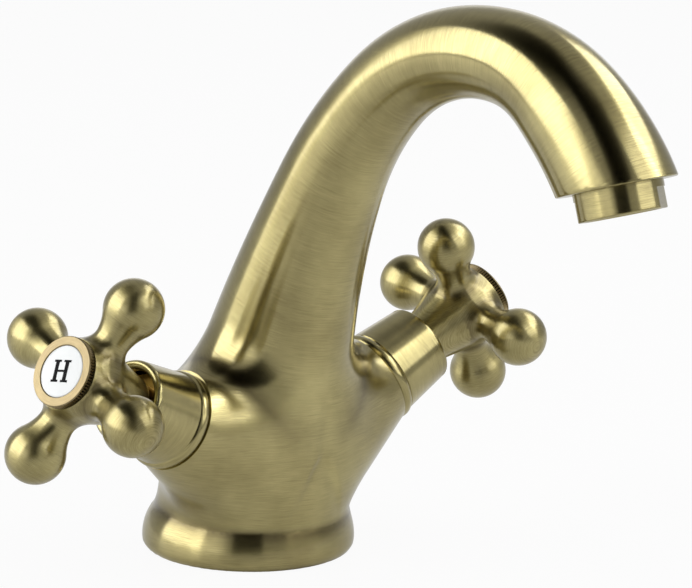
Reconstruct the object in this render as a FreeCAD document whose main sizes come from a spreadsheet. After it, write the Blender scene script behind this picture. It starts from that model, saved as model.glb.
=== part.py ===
import FreeCAD, Part
import math
import os

import Sketcher
from FreeCAD import Placement, Rotation, Vector

# A deck-mounted basin mixer with two cross handles. Frame: the origin is the centre of the foot's
# underside, +Z is up, the spout reaches towards -Y, the hot side is -X. Millimetres and degrees.
SIZES = {
    # foot
    "foot_edge_radius": 29.6,
    "foot_edge_round": 2.4,
    "foot_rim_radius": 31.15,
    "foot_rim_height": 2.2,
    "foot_rim_bend": 14.0,
    "foot_shoulder_radius": 28.9,
    "foot_shoulder_height": 10.6,
    "foot_cove_bend": 20.0,
    "foot_cove_radius": 25.0,
    "foot_cove_height": 17.0,
    # radii of the column and spout, and how far along the spout line each one lies
    "waist_radius": 27.8,
    "belly_radius": 27.9,
    "belly_along": 10.0,
    "flank_radius": 24.3,
    "flank_along": 30.0,
    "root_radius": 19.7,
    "root_along": 62.0,
    "riser_radius": 16.0,
    "riser_along": 94.0,
    "shoulder_radius": 13.4,
    "shoulder_along": 128.0,
    "neck_radius": 12.5,
    "neck_along": 164.0,
    "crown_radius": 13.0,
    "crown_along": 196.0,
    "nose_radius": 14.9,
    "nose_along": 218.0,
    "tip_radius": 15.8,
    "tip_along": 238.0,
    "spout_run": 252.0,
    # spout line: five arcs that follow each other from the waist, the last one to the spout's end
    "waist_height": 14.0,
    "waist_forward": 1.8,
    "waist_lean": 8.2,
    "waist_setback": 13.0,
    "waist_root_radius": 27.2,
    "riser_bend": 314.0,
    "riser_turn": 19.0,
    "shoulder_bend": 102.3,
    "shoulder_turn": 20.0,
    "crown_bend": 58.8,
    "crown_turn": 49.8,
    "drop_bend": 42.3,
    "drop_turn": 29.5,
    "nose_bend": 81.0,
    # the end face of the spout, square to the stream
    "outlet_forward": 141.76,
    "outlet_height": 127.53,
    "outlet_lean": 17.4,
    "outlet_trim_radius": 30.0,
    "water_start": 48.0,
    "water_radius": 9.0,
    "water_wall": 4.0,
    # valve axes, given where the plane of the handle's arms crosses them
    "handle_reach": 73.1,
    "handle_forward": 13.87,
    "handle_height": 62.62,
    "valve_tilt": 26.86,
    "valve_lean": 5.63,
    # boss, trim ring and shroud
    "boss_setback": 38.5,
    "boss_radius": 14.3,
    "boss_flare": 17.0,
    "boss_flank": 20.0,
    "boss_bend": 50.0,
    "boss_fillet": 17.0,
    "spigot_radius": 11.9,
    "spigot_length": 7.5,
    "trim_ring_width": 3.6,
    "trim_ring_edge_radius": 13.4,
    "trim_ring_bend": 2.15,
    "shroud_length": 16.9,
    "shroud_rear_radius": 13.6,
    "shroud_front_radius": 12.1,
    "shroud_opening_radius": 9.5,
    "shroud_lip": 2.6,
    "shroud_rim_round": 1.2,
    "shroud_cavity_radius": 11.5,
    "shroud_throat_radius": 10.6,
    "shroud_throat_step": 0.5,
    "shroud_thread_relief": 0.2,
    # valve headwork
    "valve_thread_radius": 10.48,
    "valve_length": 23.0,
    "valve_chamber_radius": 8.4,
    "collar_radius": 11.35,
    "collar_height": 2.0,
    "hex_flats": 19.0,
    "hex_height": 3.6,
    "valve_neck_radius": 6.2,
    "valve_neck_height": 3.3,
    "gasket_thickness": 1.0,
    "window_width": 11.0,
    "window_height": 4.4,
    "window_inset": 1.0,
    "disc_radius": 8.3,
    "disc_thickness": 3.0,
    "disc_port_inner": 2.4,
    "disc_port_outer": 6.6,
    "disc_port_angle": 76.0,
    "seat_seal_height": 2.0,
    "seat_seal_bore": 4.6,
    "closed_turn": 90.0,
    "seat_depth": 0.5,
    "chamber_radius": 11.8,
    "chamber_length": 8.0,
    "seat_bore_radius": 10.6,
    "spindle_radius": 4.0,
    "driver_radius": 8.0,
    "driver_height": 3.0,
    "tongue_width": 4.0,
    "tongue_length": 11.0,
    "tongue_depth": 1.0,
    "spline_teeth": 20,
    "spline_depth": 0.4,
    "spline_length": 12.5,
    "o_ring_section": 0.8,
    "o_ring_setback": 2.0,
    "circlip_thickness": 0.8,
    "circlip_radius": 5.2,
    "circlip_groove_depth": 0.7,
    "circlip_gap": 4.0,
    # cross handle
    "skirt_rear_radius": 7.4,
    "skirt_length": 19.4,
    "skirt_edge": 0.6,
    "skirt_bore": 5.8,
    "hub_radius": 11.7,
    "hub_widest_setback": 1.8,
    "hub_front_radius": 10.2,
    "hub_front_height": 7.6,
    "hub_dome_bend": 14.0,
    "arm_ball_radius": 8.56,
    "arm_ball_reach": 24.26,
    "arm_neck_radius": 5.15,
    "arm_neck_reach": 12.5,
    "arm_fillet": 1.6,
    "arm_count": 4,
    "hot_handle_spin": 68.8,
    "cold_handle_spin": 11.3,
    "handle_web": 5.5,
    "arm_start": 6.15,
    "spline_run_out": 1.0,
    "head_recess": 0.5,
    "screw_radius": 2.5,
    "screw_head_radius": 4.2,
    "screw_head_height": 3.0,
    "screw_reach": 14.0,
    "screw_hole_reach": 15.0,
    "screw_edge": 0.4,
    "screw_clearance": 0.2,
    "head_clearance": 0.5,
    "screw_socket_flats": 4.0,
    "screw_socket_depth": 1.8,
    "index_seat_radius": 8.0,
    "index_seat_depth": 5.2,
    # index ring and button
    "index_lip_radius": 10.36,
    "index_lip_height": 0.6,
    "index_knurl_radius": 10.1,
    "index_ring_height": 2.34,
    "index_spigot_depth": 4.0,
    "index_bore_radius": 6.6,
    "index_chamfer": 0.25,
    "knurl_teeth": 72,
    "knurl_depth": 0.35,
    "knurl_overlap": 0.2,
    "button_radius": 7.4,
    "button_height": 2.4,
    "button_edge": 0.15,
    "button_dome": 0.35,
    # aerator
    "aerator_radius": 12.0,
    "aerator_drop": 7.54,
    "aerator_thread": 5.0,
    "aerator_wall": 1.2,
    "aerator_lip": 1.6,
    "aerator_lip_width": 0.7,
    "aerator_edge": 0.4,
    "aerator_flat_cut": 4.0,
    "aerator_flats": 22.0,
    "aerator_flat_height": 5.6,
    "aerator_spin": 30.0,
    "aerator_washer_height": 1.6,
    "aerator_washer_bore": 8.6,
    "aerator_insert_height": 7.0,
    "aerator_insert_floor": 2.0,
    "aerator_insert_wall": 1.2,
    "aerator_screen_height": 1.2,
    "jet_radius": 0.9,
    "jet_circle": 7.0,
    "jet_count": 12,
    "cell_radius": 1.5,
    "cell_circle": 7.4,
    "cell_count": 12,
    # underside
    "recess_radius": 21.5,
    "recess_depth": 6.0,
    "seal_groove_inner": 23.2,
    "seal_groove_outer": 27.2,
    "seal_groove_depth": 2.4,
    "stud_thread_radius": 4.0,
    "stud_thread_depth": 14.0,
    "stud_back": 12.5,
    "inlet_thread_radius": 5.0,
    "inlet_thread_depth": 13.0,
    "inlet_spacing": 21.0,
    "inlet_forward": 5.0,
    "inlet_bore_radius": 3.6,
    "mix_bore_radius": 4.5,
    "pillar_recess_depth": 16.0,
    "inlet_pillar_radius": 8.0,
    "stud_pillar_radius": 7.0,
    # clearances, and how far a cutting tool runs on past the faces that it cuts
    "running_gap": 0.05,
    "fit_gap": 0.05,
    "past": 1.0,
}

doc = FreeCAD.newDocument("cross_handle_tap")
sheet = doc.addObject("Spreadsheet::Sheet", "dims")
for row, (name, number) in enumerate(SIZES.items(), start=1):
    sheet.set(f"A{row}", name)
    sheet.set(f"B{row}", str(number))
    sheet.setAlias(f"B{row}", name)
doc.recompute()


class Size:
    """A size that knows its number and the sheet formula that it is bound by."""

    def __init__(self, number, formula):
        self.number = float(number)
        self.formula = formula

    @staticmethod
    def of(other):
        return other if isinstance(other, Size) else Size(other, repr(float(other)))

    def __add__(self, other):
        other = Size.of(other)
        return Size(self.number + other.number, f"({self.formula} + {other.formula})")

    def __sub__(self, other):
        other = Size.of(other)
        return Size(self.number - other.number, f"({self.formula} - {other.formula})")

    def __mul__(self, other):
        other = Size.of(other)
        return Size(self.number * other.number, f"({self.formula} * {other.formula})")

    def __truediv__(self, other):
        other = Size.of(other)
        return Size(self.number / other.number, f"({self.formula} / {other.formula})")

    def __neg__(self):
        return Size(-self.number, f"(0 - {self.formula})")

    __radd__ = __add__
    __rmul__ = __mul__

    def __rsub__(self, other):
        return Size.of(other) - self


class Dims:
    """The sheet's cells by name."""

    def __getattr__(self, name):
        return Size(sheet.get(name), f"dims.{name}")


dim = Dims()
ZERO = Size(0, "0")
HALF = 0.5


def bind(thing, **sizes):
    """Bind properties of a document object to formulas of the sheet."""
    for name, size in sizes.items():
        thing.setExpression(name, Size.of(size).formula)


def origin_plane(body, role):
    return next(item for item in body.Origin.OriginFeatures if item.Role == role)


def new_sketch(body, role, name, height=ZERO):
    """A sketch on one of its own body's origin planes, lifted by height along the plane's normal."""
    sketch = body.newObject("Sketcher::SketchObject", name)
    sketch.AttachmentSupport = [(origin_plane(body, role), "")]
    sketch.MapMode = "FlatFace"
    sketch.setExpression("AttachmentOffset.Base.z", height.formula)
    return sketch


def pin_point(sketch, curve, end, x, y):
    """Hold one end of a curve at x, y."""
    for kind, size, axis in (("DistanceX", x, -2), ("DistanceY", y, -1)):
        if size.formula == "0":
            sketch.addConstraint(Sketcher.Constraint("PointOnObject", curve, end, axis))
        else:
            index = sketch.addConstraint(
                Sketcher.Constraint(kind, -1, 1, curve, end, size.number)
            )
            sketch.setExpression(f"Constraints[{index}]", size.formula)


def arc_between(first, last, radius, turn):
    """The short arc between two points. turn is +1 where it runs anticlockwise and -1 clockwise."""
    middle = (first + last) * HALF
    chord = last - first
    rise = math.sqrt(max(radius**2 - (chord.Length * HALF) ** 2, 0.0))
    side = Vector(-chord.y, chord.x, 0).normalize() * turn
    centre = middle + side * rise
    ends = (first, last) if turn > 0 else (last, first)
    angles = [math.atan2(point.y - centre.y, point.x - centre.x) for point in ends]
    circle = Part.Circle(centre, Vector(0, 0, 1), radius)
    return Part.ArcOfCircle(circle, angles[0], angles[1])


def draw_outline(sketch, corners):
    """A closed outline. A corner is (x, y), or (x, y, radius, turn) where an arc leaves it."""
    corners = [tuple(Size.of(v) for v in c[:2]) + tuple(c[2:]) for c in corners]
    ends = []
    for i, corner in enumerate(corners):
        following = corners[(i + 1) % len(corners)]
        first = Vector(corner[0].number, corner[1].number, 0)
        last = Vector(following[0].number, following[1].number, 0)
        if len(corner) == 2:
            curve = sketch.addGeometry(Part.LineSegment(first, last))
            ends.append((curve, 1, 2))
            continue
        radius, turn = Size.of(corner[2]), corner[3]
        curve = sketch.addGeometry(arc_between(first, last, radius.number, turn))
        index = sketch.addConstraint(Sketcher.Constraint("Radius", curve, radius.number))
        sketch.setExpression(f"Constraints[{index}]", radius.formula)
        ends.append((curve, 1, 2) if turn > 0 else (curve, 2, 1))
    for i, (curve, start, end) in enumerate(ends):
        following, next_start, _ = ends[(i + 1) % len(ends)]
        sketch.addConstraint(
            Sketcher.Constraint("Coincident", curve, end, following, next_start)
        )
    for (curve, start, end), corner in zip(ends, corners):
        pin_point(sketch, curve, start, corner[0], corner[1])


def draw_circle(sketch, x, y, radius):
    curve = sketch.addGeometry(
        Part.Circle(Vector(x.number, y.number, 0), Vector(0, 0, 1), radius.number)
    )
    index = sketch.addConstraint(Sketcher.Constraint("Radius", curve, radius.number))
    sketch.setExpression(f"Constraints[{index}]", radius.formula)
    pin_point(sketch, curve, 3, x, y)


def draw_hexagon(sketch, flats):
    """A hexagon by its size across flats, two of its corners on the sketch's X axis."""
    corner = flats / math.sqrt(3)
    half, side = corner * HALF, flats * HALF
    draw_outline(
        sketch,
        [
            (corner, ZERO),
            (half, side),
            (-half, side),
            (-corner, ZERO),
            (-half, -side),
            (half, -side),
        ],
    )


def draw_bar(sketch, length, width):
    """A rectangle centred on the sketch's origin, its length upright."""
    x, y = width * HALF, length * HALF
    draw_outline(sketch, [(-x, -y), (x, -y), (x, y), (-x, y)])


def new_body(label):
    body = doc.addObject("PartDesign::Body", label)
    body.Label = label
    return body


def turn_outline(body, name, corners, axis="V_Axis", kind="Revolution"):
    """Revolve an outline of (radius, height) corners about the body's own Z axis."""
    sketch = new_sketch(body, "XZ_Plane", name + "_outline")
    draw_outline(sketch, corners)
    turned = body.newObject("PartDesign::" + kind, name)
    turned.Profile = sketch
    turned.ReferenceAxis = (sketch, [axis])
    turned.Angle = 360
    return turned


def turned_body(label, corners):
    body = new_body(label)
    turn_outline(body, label + "_turning", corners)
    return body


def ring_body(label, inner, outer, bottom, top):
    """A plain ring or washer of rectangular section."""
    return turned_body(
        label, [(inner, bottom), (outer, bottom), (outer, top), (inner, top)]
    )


def volume_check(body, before, feature):
    """Stop where a cutting feature removes nothing."""
    doc.recompute()
    if not feature.Shape.Volume < before - 1e-6:
        raise RuntimeError(feature.Name + " cuts nothing")


def cut_pocket(body, name, sketch, depth, up=False):
    """Cut a sketch downwards from its plane, or upwards where up is set."""
    before = body.Shape.Volume
    pocket = body.newObject("PartDesign::Pocket", name)
    pocket.Profile = sketch
    pocket.Reversed = up
    bind(pocket, Length=depth)
    volume_check(body, before, pocket)
    return pocket


def repeat_around(body, name, feature, count):
    """Repeat a feature around the body's Z axis."""
    pattern = body.newObject("PartDesign::PolarPattern", name)
    pattern.Originals = [feature]
    axis = next(item for item in body.Origin.OriginFeatures if item.Role == "Z_Axis")
    pattern.Axis = (axis, [""])
    pattern.Angle = 360
    pattern.Occurrences = int(count.number)
    bind(pattern, Occurrences=count)
    body.Tip = pattern
    doc.recompute()
    return pattern


def cut_round_holes(body, name, x, radius, height, depth, count):
    """A ring of round holes cut downwards from a height."""
    sketch = new_sketch(body, "XY_Plane", name + "_circle", height)
    draw_circle(sketch, x, ZERO, radius)
    doc.recompute()
    hole = cut_pocket(body, name, sketch, depth)
    return repeat_around(body, name + "_ring", hole, count)


# ---------------------------------------------------------------------------------------------
# places: the valve frames and the line of the spout
# ---------------------------------------------------------------------------------------------
SIDES = {"hot": -1, "cold": 1}


def number(name):
    return float(sheet.get(name))


def valve_frame(side, spin=0.0):
    """The frame of one valve: Z outwards along its axis, X as near to upwards as it can be,
    and its origin where the plane of the handle's arms crosses the axis."""
    tilt = math.radians(number("valve_tilt"))
    lean = math.radians(number("valve_lean"))
    outward = Vector(
        SIDES[side] * math.cos(tilt) * math.cos(lean),
        -math.cos(tilt) * math.sin(lean),
        math.sin(tilt),
    )
    upward = (Vector(0, 0, 1) - outward * outward.z).normalize()
    across = outward.cross(upward)
    hub = Vector(
        SIDES[side] * number("handle_reach"), -number("handle_forward"), number("handle_height")
    )
    turn = Rotation(upward, across, outward, "ZXY") * Rotation(Vector(0, 0, 1), spin)
    return Placement(hub, turn)


def spine_at(distance):
    """Point and heading (degrees from upright, forwards) at a distance along the spout line."""
    arcs = [
        (number(name + "_bend"), math.radians(number(name + "_turn")))
        for name in ("riser", "shoulder", "crown", "drop")
    ]
    arcs.append((number("nose_bend"), math.pi))
    y, z = -number("waist_forward"), number("waist_height")
    heading = number("waist_lean")
    for radius, turn in arcs:
        step = min(distance, radius * turn)
        after = heading + math.degrees(step / radius)
        a, b = math.radians(heading), math.radians(after)
        y += radius * (math.cos(b) - math.cos(a))
        z += radius * (math.sin(b) - math.sin(a))
        heading = after
        distance -= step
        if distance <= 0:
            break
    return Vector(0, y, z), heading


def section_radius(distance):
    """The casting's radius along the spout line, an even curve through the named radii."""
    names = ["belly", "flank", "root", "riser", "shoulder", "neck", "crown", "nose", "tip"]
    along = [0.0] + [number(name + "_along") for name in names]
    radii = [number("waist_radius")] + [number(name + "_radius") for name in names]
    rises = [(radii[i + 1] - radii[i]) / (along[i + 1] - along[i]) for i in range(len(names))]
    slopes = [rises[0]] + [HALF * (a + b) for a, b in zip(rises, rises[1:])] + [0.0]
    i = max(k for k in range(len(names)) if k == 0 or distance >= along[k])
    span = along[i + 1] - along[i]
    u = min((distance - along[i]) / span, 1.0)
    return (
        (2 * u**3 - 3 * u**2 + 1) * radii[i]
        + (u**3 - 2 * u**2 + u) * span * slopes[i]
        + (3 * u**2 - 2 * u**3) * radii[i + 1]
        + (u**3 - u**2) * span * slopes[i + 1]
    )


SEAM_AT_BACK = Placement(Vector(0, 0, 0), Rotation(Vector(0, 0, 1), 90))


def frame_in_profile(forward, height, heading):
    """A frame on the tap's middle plane, its Z at a heading from upright, its X to the front."""
    return Placement(Vector(0, -forward, height), Rotation(Vector(1, 0, 0), heading)) * SEAM_AT_BACK


def section_frame(distance):
    """The frame of a section across the spout line."""
    point, heading = spine_at(distance)
    return frame_in_profile(-point.y, point.z, heading)


def outlet_frame():
    """The frame of the spout's end face, its Z down the stream."""
    return frame_in_profile(
        number("outlet_forward"), number("outlet_height"), 180 - number("outlet_lean")
    )


def circle_at(name, frame, radius):
    circle = doc.addObject("Part::Circle", name)
    circle.Radius = radius
    circle.Placement = frame
    return circle


def loft(name, circles):
    skin = doc.addObject("Part::Loft", name)
    skin.Sections = circles
    skin.Solid = True
    skin.Ruled = False
    skin.MaxDegree = 3
    return skin


def drilled(name, radius, start, end):
    """A round bar from one point to another, used to cut a bore."""
    bar = doc.addObject("Part::Cylinder", name)
    bind(bar, Radius=radius)
    bar.Height = (end - start).Length
    bar.Placement = Placement(start, Rotation(Vector(0, 0, 1), end - start))
    return bar


def bar_on(name, frame, radius, bottom, top):
    """A round bar on a frame's Z axis between two heights."""
    bar = doc.addObject("Part::Cylinder", name)
    bind(bar, Radius=radius, Height=top - bottom)
    bar.Placement = frame * Placement(Vector(0, 0, bottom.number), Rotation())
    return bar


# heights along a valve's axis, from the plane of the handle's arms (outwards is positive)
boss_face = -dim.boss_setback
shroud_rear = boss_face + dim.trim_ring_width
shroud_front = shroud_rear + dim.shroud_length
spigot_end = boss_face + dim.spigot_length
collar_bottom = spigot_end + dim.gasket_thickness
hex_bottom = collar_bottom + dim.collar_height
hex_top = hex_bottom + dim.hex_height
valve_top = hex_top + dim.valve_neck_height
valve_bottom = collar_bottom - dim.valve_length
seat_floor = valve_bottom - dim.seat_depth
fixed_disc_bottom = seat_floor + dim.seat_seal_height
fixed_disc_top = fixed_disc_bottom + dim.disc_thickness
moving_disc_bottom = fixed_disc_top + dim.running_gap
moving_disc_top = moving_disc_bottom + dim.disc_thickness
driver_bottom = moving_disc_top + dim.running_gap
driver_top = driver_bottom + dim.driver_height
chamber_bottom = fixed_disc_bottom
chamber_top = chamber_bottom + dim.chamber_length
o_ring_middle = hex_bottom - dim.o_ring_setback
circlip_bottom = valve_top + dim.running_gap
skirt_rear = -dim.skirt_length
index_floor = dim.hub_front_height - dim.index_seat_depth
head_seat = index_floor - dim.head_recess
spindle_top = head_seat - dim.handle_web


# ---------------------------------------------------------------------------------------------
# body casting: foot, belly, valve bosses and swan-neck spout in one piece, with its waterways
# ---------------------------------------------------------------------------------------------
SECTION_STEP = 12.0


def turned_tool(name, frame, corners):
    """A solid turned about a frame's Z axis from (radius, height) corners."""
    sketch = doc.addObject("Sketcher::SketchObject", name + "_outline")
    sketch.Placement = Placement(Vector(0, 0, 0), Rotation(Vector(1, 0, 0), 90))
    draw_outline(sketch, corners)
    turned = doc.addObject("Part::Revolution", name + "_turning")
    turned.Source = sketch
    turned.Axis = Vector(0, 0, 1)
    turned.Angle = 360
    turned.Solid = True
    turned.Placement = frame
    return turned


def evenly(start, end):
    """Distances along the spout line from start to end, about one section step apart."""
    count = round((end - start) / SECTION_STEP)
    return [start + (end - start) * i / count for i in range(count + 1)]


def make_foot():
    return turned_tool(
        "foot",
        Placement(),
        [
            (0, 0),
            (dim.foot_edge_radius, 0, dim.foot_edge_round, 1),
            (dim.foot_rim_radius, dim.foot_rim_height, dim.foot_rim_bend, 1),
            (dim.foot_shoulder_radius, dim.foot_shoulder_height, dim.foot_cove_bend, -1),
            (dim.foot_cove_radius, dim.foot_cove_height),
            (0, dim.foot_cove_height),
        ],
    )


def make_column():
    """Belly, riser and swan neck, lofted through circles across the spout line."""
    root = frame_in_profile(
        number("waist_forward"), number("waist_height") - number("waist_setback"), 0
    )
    circles = [circle_at("section_root", root, number("waist_root_radius"))]
    for i, distance in enumerate(evenly(0, number("spout_run"))):
        circles.append(circle_at(f"section_{i}", section_frame(distance), section_radius(distance)))
    column = doc.addObject("Part::Cut", "column")
    column.Base = loft("column_rough", circles)
    column.Tool = bar_on(
        "outlet_trim", outlet_frame(), dim.outlet_trim_radius, ZERO, dim.outlet_trim_radius
    )
    return column


def make_boss(side):
    """The branch that carries one valve: a cone that bends over into a cylinder inside the belly."""
    flare = math.radians(number("boss_flare"))
    flank_radius = dim.boss_radius + dim.boss_flank * round(math.tan(flare), 6)
    flank_end = boss_face - dim.boss_flank
    root_radius = flank_radius + dim.boss_bend * round(1 - math.cos(flare), 6)
    root = flank_end - dim.boss_bend * round(math.sin(flare), 6)
    return turned_tool(
        side + "_boss",
        valve_frame(side),
        [
            (0, root),
            (root_radius, root, dim.boss_bend, 1),
            (flank_radius, flank_end),
            (dim.boss_radius, boss_face),
            (0, boss_face),
        ],
    )


# Two shapes touch at a point when both skins are nearer to it than this.
TOUCHING = 0.01


def lies_on(point, solid):
    """True where the point is on the solid's skin."""
    return Part.Vertex(point).distToShape(solid.Shape.Shells[0])[0] < TOUCHING


def casting_outside():
    column = make_column()
    bosses = [make_boss(side) for side in SIDES]
    whole = doc.addObject("Part::MultiFuse", "casting_rough")
    whole.Shapes = [column, make_foot()] + bosses
    doc.recompute()

    def is_root_edge(edge):
        """True on the curves where a boss grows out of the column."""
        middle = edge.valueAt((edge.FirstParameter + edge.LastParameter) * HALF)
        return lies_on(middle, column) and any(lies_on(middle, boss) for boss in bosses)

    roots = [i for i, edge in enumerate(whole.Shape.Edges, start=1) if is_root_edge(edge)]
    smooth = doc.addObject("Part::Fillet", "casting_smooth")
    smooth.Base = whole
    radius = number("boss_fillet")
    smooth.Edges = [(i, radius, radius) for i in roots]
    doc.recompute()

    outside = doc.addObject("Part::MultiFuse", "casting_outside")
    outside.Shapes = [smooth] + [
        bar_on(
            side + "_spigot",
            valve_frame(side),
            dim.spigot_radius,
            boss_face - dim.past,
            spigot_end,
        )
        for side in SIDES
    ]
    return outside


def water_radius(distance):
    """An even wall up to the neck, then a bore that suits the aerator."""
    radius = section_radius(distance) - number("water_wall")
    if distance > number("neck_along"):
        radius = min(radius, number("water_radius"))
    return radius


def spout_waterways():
    """The cored way up the column and along the spout, and the socket of the aerator."""
    circles = [
        circle_at(f"water_{i}", section_frame(distance), water_radius(distance))
        for i, distance in enumerate(evenly(number("water_start"), number("spout_run")))
    ]
    socket_depth = dim.aerator_thread + dim.aerator_washer_height
    socket = bar_on(
        "aerator_socket", outlet_frame(), dim.aerator_radius + dim.fit_gap, -socket_depth, dim.past
    )
    return [loft("spout_waterway", circles), socket]


def valve_waterways(side):
    """One side's valve seat, its inlet from below and its way to the mixed water."""
    frame = valve_frame(side)
    thread = dim.valve_thread_radius + dim.fit_gap
    seat = frame.multVec(Vector(0, 0, seat_floor.number))
    middle = (chamber_bottom + chamber_top) * HALF
    outlet = frame.multVec(Vector(0, 0, middle.number))
    mixing_point = spine_at(number("water_start") + number("water_radius"))[0]
    inlet = Vector(
        SIDES[side] * number("inlet_spacing") * HALF,
        -number("inlet_forward"),
        number("recess_depth") + number("inlet_thread_depth"),
    )
    below = Vector(inlet.x, inlet.y, 0)
    rise = (seat - inlet).normalize() * number("past")
    return [
        bar_on(side + "_thread_bore", frame, thread, chamber_top - dim.past, spigot_end + dim.past),
        bar_on(side + "_chamber", frame, dim.chamber_radius, chamber_bottom, chamber_top),
        bar_on(side + "_seat_bore", frame, dim.seat_bore_radius, seat_floor, chamber_top),
        drilled(side + "_inlet_thread", dim.inlet_thread_radius, below, inlet),
        drilled(side + "_inlet_bore", dim.inlet_bore_radius, inlet - rise * 2, seat + rise * HALF),
        drilled(side + "_mix_bore", dim.mix_bore_radius, outlet, mixing_point),
    ]


def underside_hollows():
    """The recess with its three pillars, the stud's thread and the groove of the base seal."""
    level = Placement()
    floor = dim.recess_depth
    recess = bar_on("recess", level, dim.recess_radius, -dim.past, floor)
    pillars = []
    for side in SIDES:
        pillar = bar_on(
            side + "_inlet_pillar", level, dim.inlet_pillar_radius, floor, dim.pillar_recess_depth
        )
        pillar.Placement = Placement(
            Vector(
                SIDES[side] * number("inlet_spacing") * HALF, -number("inlet_forward"), floor.number
            ),
            Rotation(),
        )
        pillars.append(pillar)
    stud_pillar = bar_on(
        "stud_pillar", level, dim.stud_pillar_radius, floor, dim.pillar_recess_depth
    )
    stud_pillar.Placement = Placement(Vector(0, number("stud_back"), floor.number), Rotation())
    deep = doc.addObject("Part::Cut", "deep_recess")
    deep.Base = bar_on("deep_recess_rough", level, dim.recess_radius, floor, dim.pillar_recess_depth)
    all_pillars = doc.addObject("Part::MultiFuse", "pillars")
    all_pillars.Shapes = pillars + [stud_pillar]
    deep.Tool = all_pillars
    stud_thread = drilled(
        "stud_thread",
        dim.stud_thread_radius,
        Vector(0, number("stud_back"), 0),
        Vector(0, number("stud_back"), number("recess_depth") + number("stud_thread_depth")),
    )
    groove = doc.addObject("Part::Cut", "seal_groove")
    groove.Base = bar_on(
        "seal_groove_outer_wall", level, dim.seal_groove_outer, -dim.past, dim.seal_groove_depth
    )
    groove.Tool = bar_on(
        "seal_groove_inner_wall",
        level,
        dim.seal_groove_inner,
        -dim.past * 2,
        dim.seal_groove_depth + dim.past,
    )
    return [recess, deep, stud_thread, groove]


def make_body_casting():
    casting = doc.addObject("Part::Cut", "body_casting")
    casting.Base = casting_outside()
    hollows = spout_waterways() + underside_hollows()
    for side in SIDES:
        hollows += valve_waterways(side)
    tool = doc.addObject("Part::MultiFuse", "casting_hollows")
    tool.Shapes = hollows
    casting.Tool = tool
    return casting


# ---------------------------------------------------------------------------------------------
# base seal and aerator
# ---------------------------------------------------------------------------------------------
def make_base_seal():
    return ring_body(
        "base_seal",
        dim.seal_groove_inner + dim.fit_gap,
        dim.seal_groove_outer - dim.fit_gap,
        ZERO,
        dim.seal_groove_depth,
    )


def make_aerator():
    """Heights run down the stream from the end face of the spout."""
    inner = dim.aerator_radius - dim.aerator_wall
    mouth = inner - dim.aerator_lip_width
    bottom = dim.aerator_drop
    floor = bottom - dim.aerator_lip
    shell = turned_body(
        "aerator_shell",
        [
            (inner, -dim.aerator_thread),
            (dim.aerator_radius, -dim.aerator_thread),
            (dim.aerator_radius, bottom - dim.aerator_edge),
            (dim.aerator_radius - dim.aerator_edge, bottom),
            (mouth, bottom),
            (mouth, floor),
            (inner, floor),
        ],
    )
    flats = new_sketch(shell, "XY_Plane", "spanner_flat", bottom)
    near, far = dim.aerator_flats * HALF, dim.aerator_flats * HALF + dim.aerator_flat_cut
    wide = dim.aerator_radius
    draw_outline(flats, [(near, -wide), (far, -wide), (far, wide), (near, wide)])
    doc.recompute()
    flat = cut_pocket(shell, "flat", flats, dim.aerator_flat_height)
    repeat_around(shell, "flats", flat, Size.of(2))

    edge = inner - dim.fit_gap
    screen_top = floor - dim.aerator_screen_height
    screen = turned_body(
        "aerator_screen", [(0, screen_top), (edge, screen_top), (edge, floor), (0, floor)]
    )
    for name, circle, count in (
        ("outer_cell", dim.cell_circle, dim.cell_count),
        ("inner_cell", dim.cell_circle * HALF, dim.cell_count * HALF),
    ):
        cut_round_holes(
            screen, name, circle, dim.cell_radius, floor, dim.aerator_screen_height + dim.past, count
        )
    insert_top = screen_top - dim.aerator_insert_height
    insert_floor = insert_top + dim.aerator_insert_floor
    cup = inner - dim.aerator_insert_wall
    insert = turned_body(
        "aerator_insert",
        [
            (0, insert_top),
            (edge, insert_top),
            (edge, screen_top),
            (cup, screen_top),
            (cup, insert_floor),
            (0, insert_floor),
        ],
    )
    cut_round_holes(
        insert,
        "jet",
        dim.jet_circle,
        dim.jet_radius,
        insert_floor,
        dim.aerator_insert_floor + dim.past,
        dim.jet_count,
    )
    washer = ring_body(
        "aerator_washer",
        dim.aerator_washer_bore,
        dim.aerator_radius,
        -dim.aerator_thread - dim.aerator_washer_height,
        -dim.aerator_thread,
    )
    spin = Placement(Vector(0, 0, 0), Rotation(Vector(0, 0, 1), 90 + number("aerator_spin")))
    for piece in (shell, screen, insert, washer):
        piece.Placement = outlet_frame() * spin
    return [shell, screen, insert, washer]


# ---------------------------------------------------------------------------------------------
# one side's fixed pieces
# ---------------------------------------------------------------------------------------------
def make_trim_ring(side):
    """A rounded bead, clamped between the boss and the shroud."""
    bore = dim.spigot_radius + dim.fit_gap
    return turned_body(
        side + "_trim_ring",
        [
            (bore, boss_face),
            (dim.trim_ring_edge_radius, boss_face, dim.trim_ring_bend, 1),
            (dim.trim_ring_edge_radius, shroud_rear),
            (bore, shroud_rear),
        ],
    )


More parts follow.
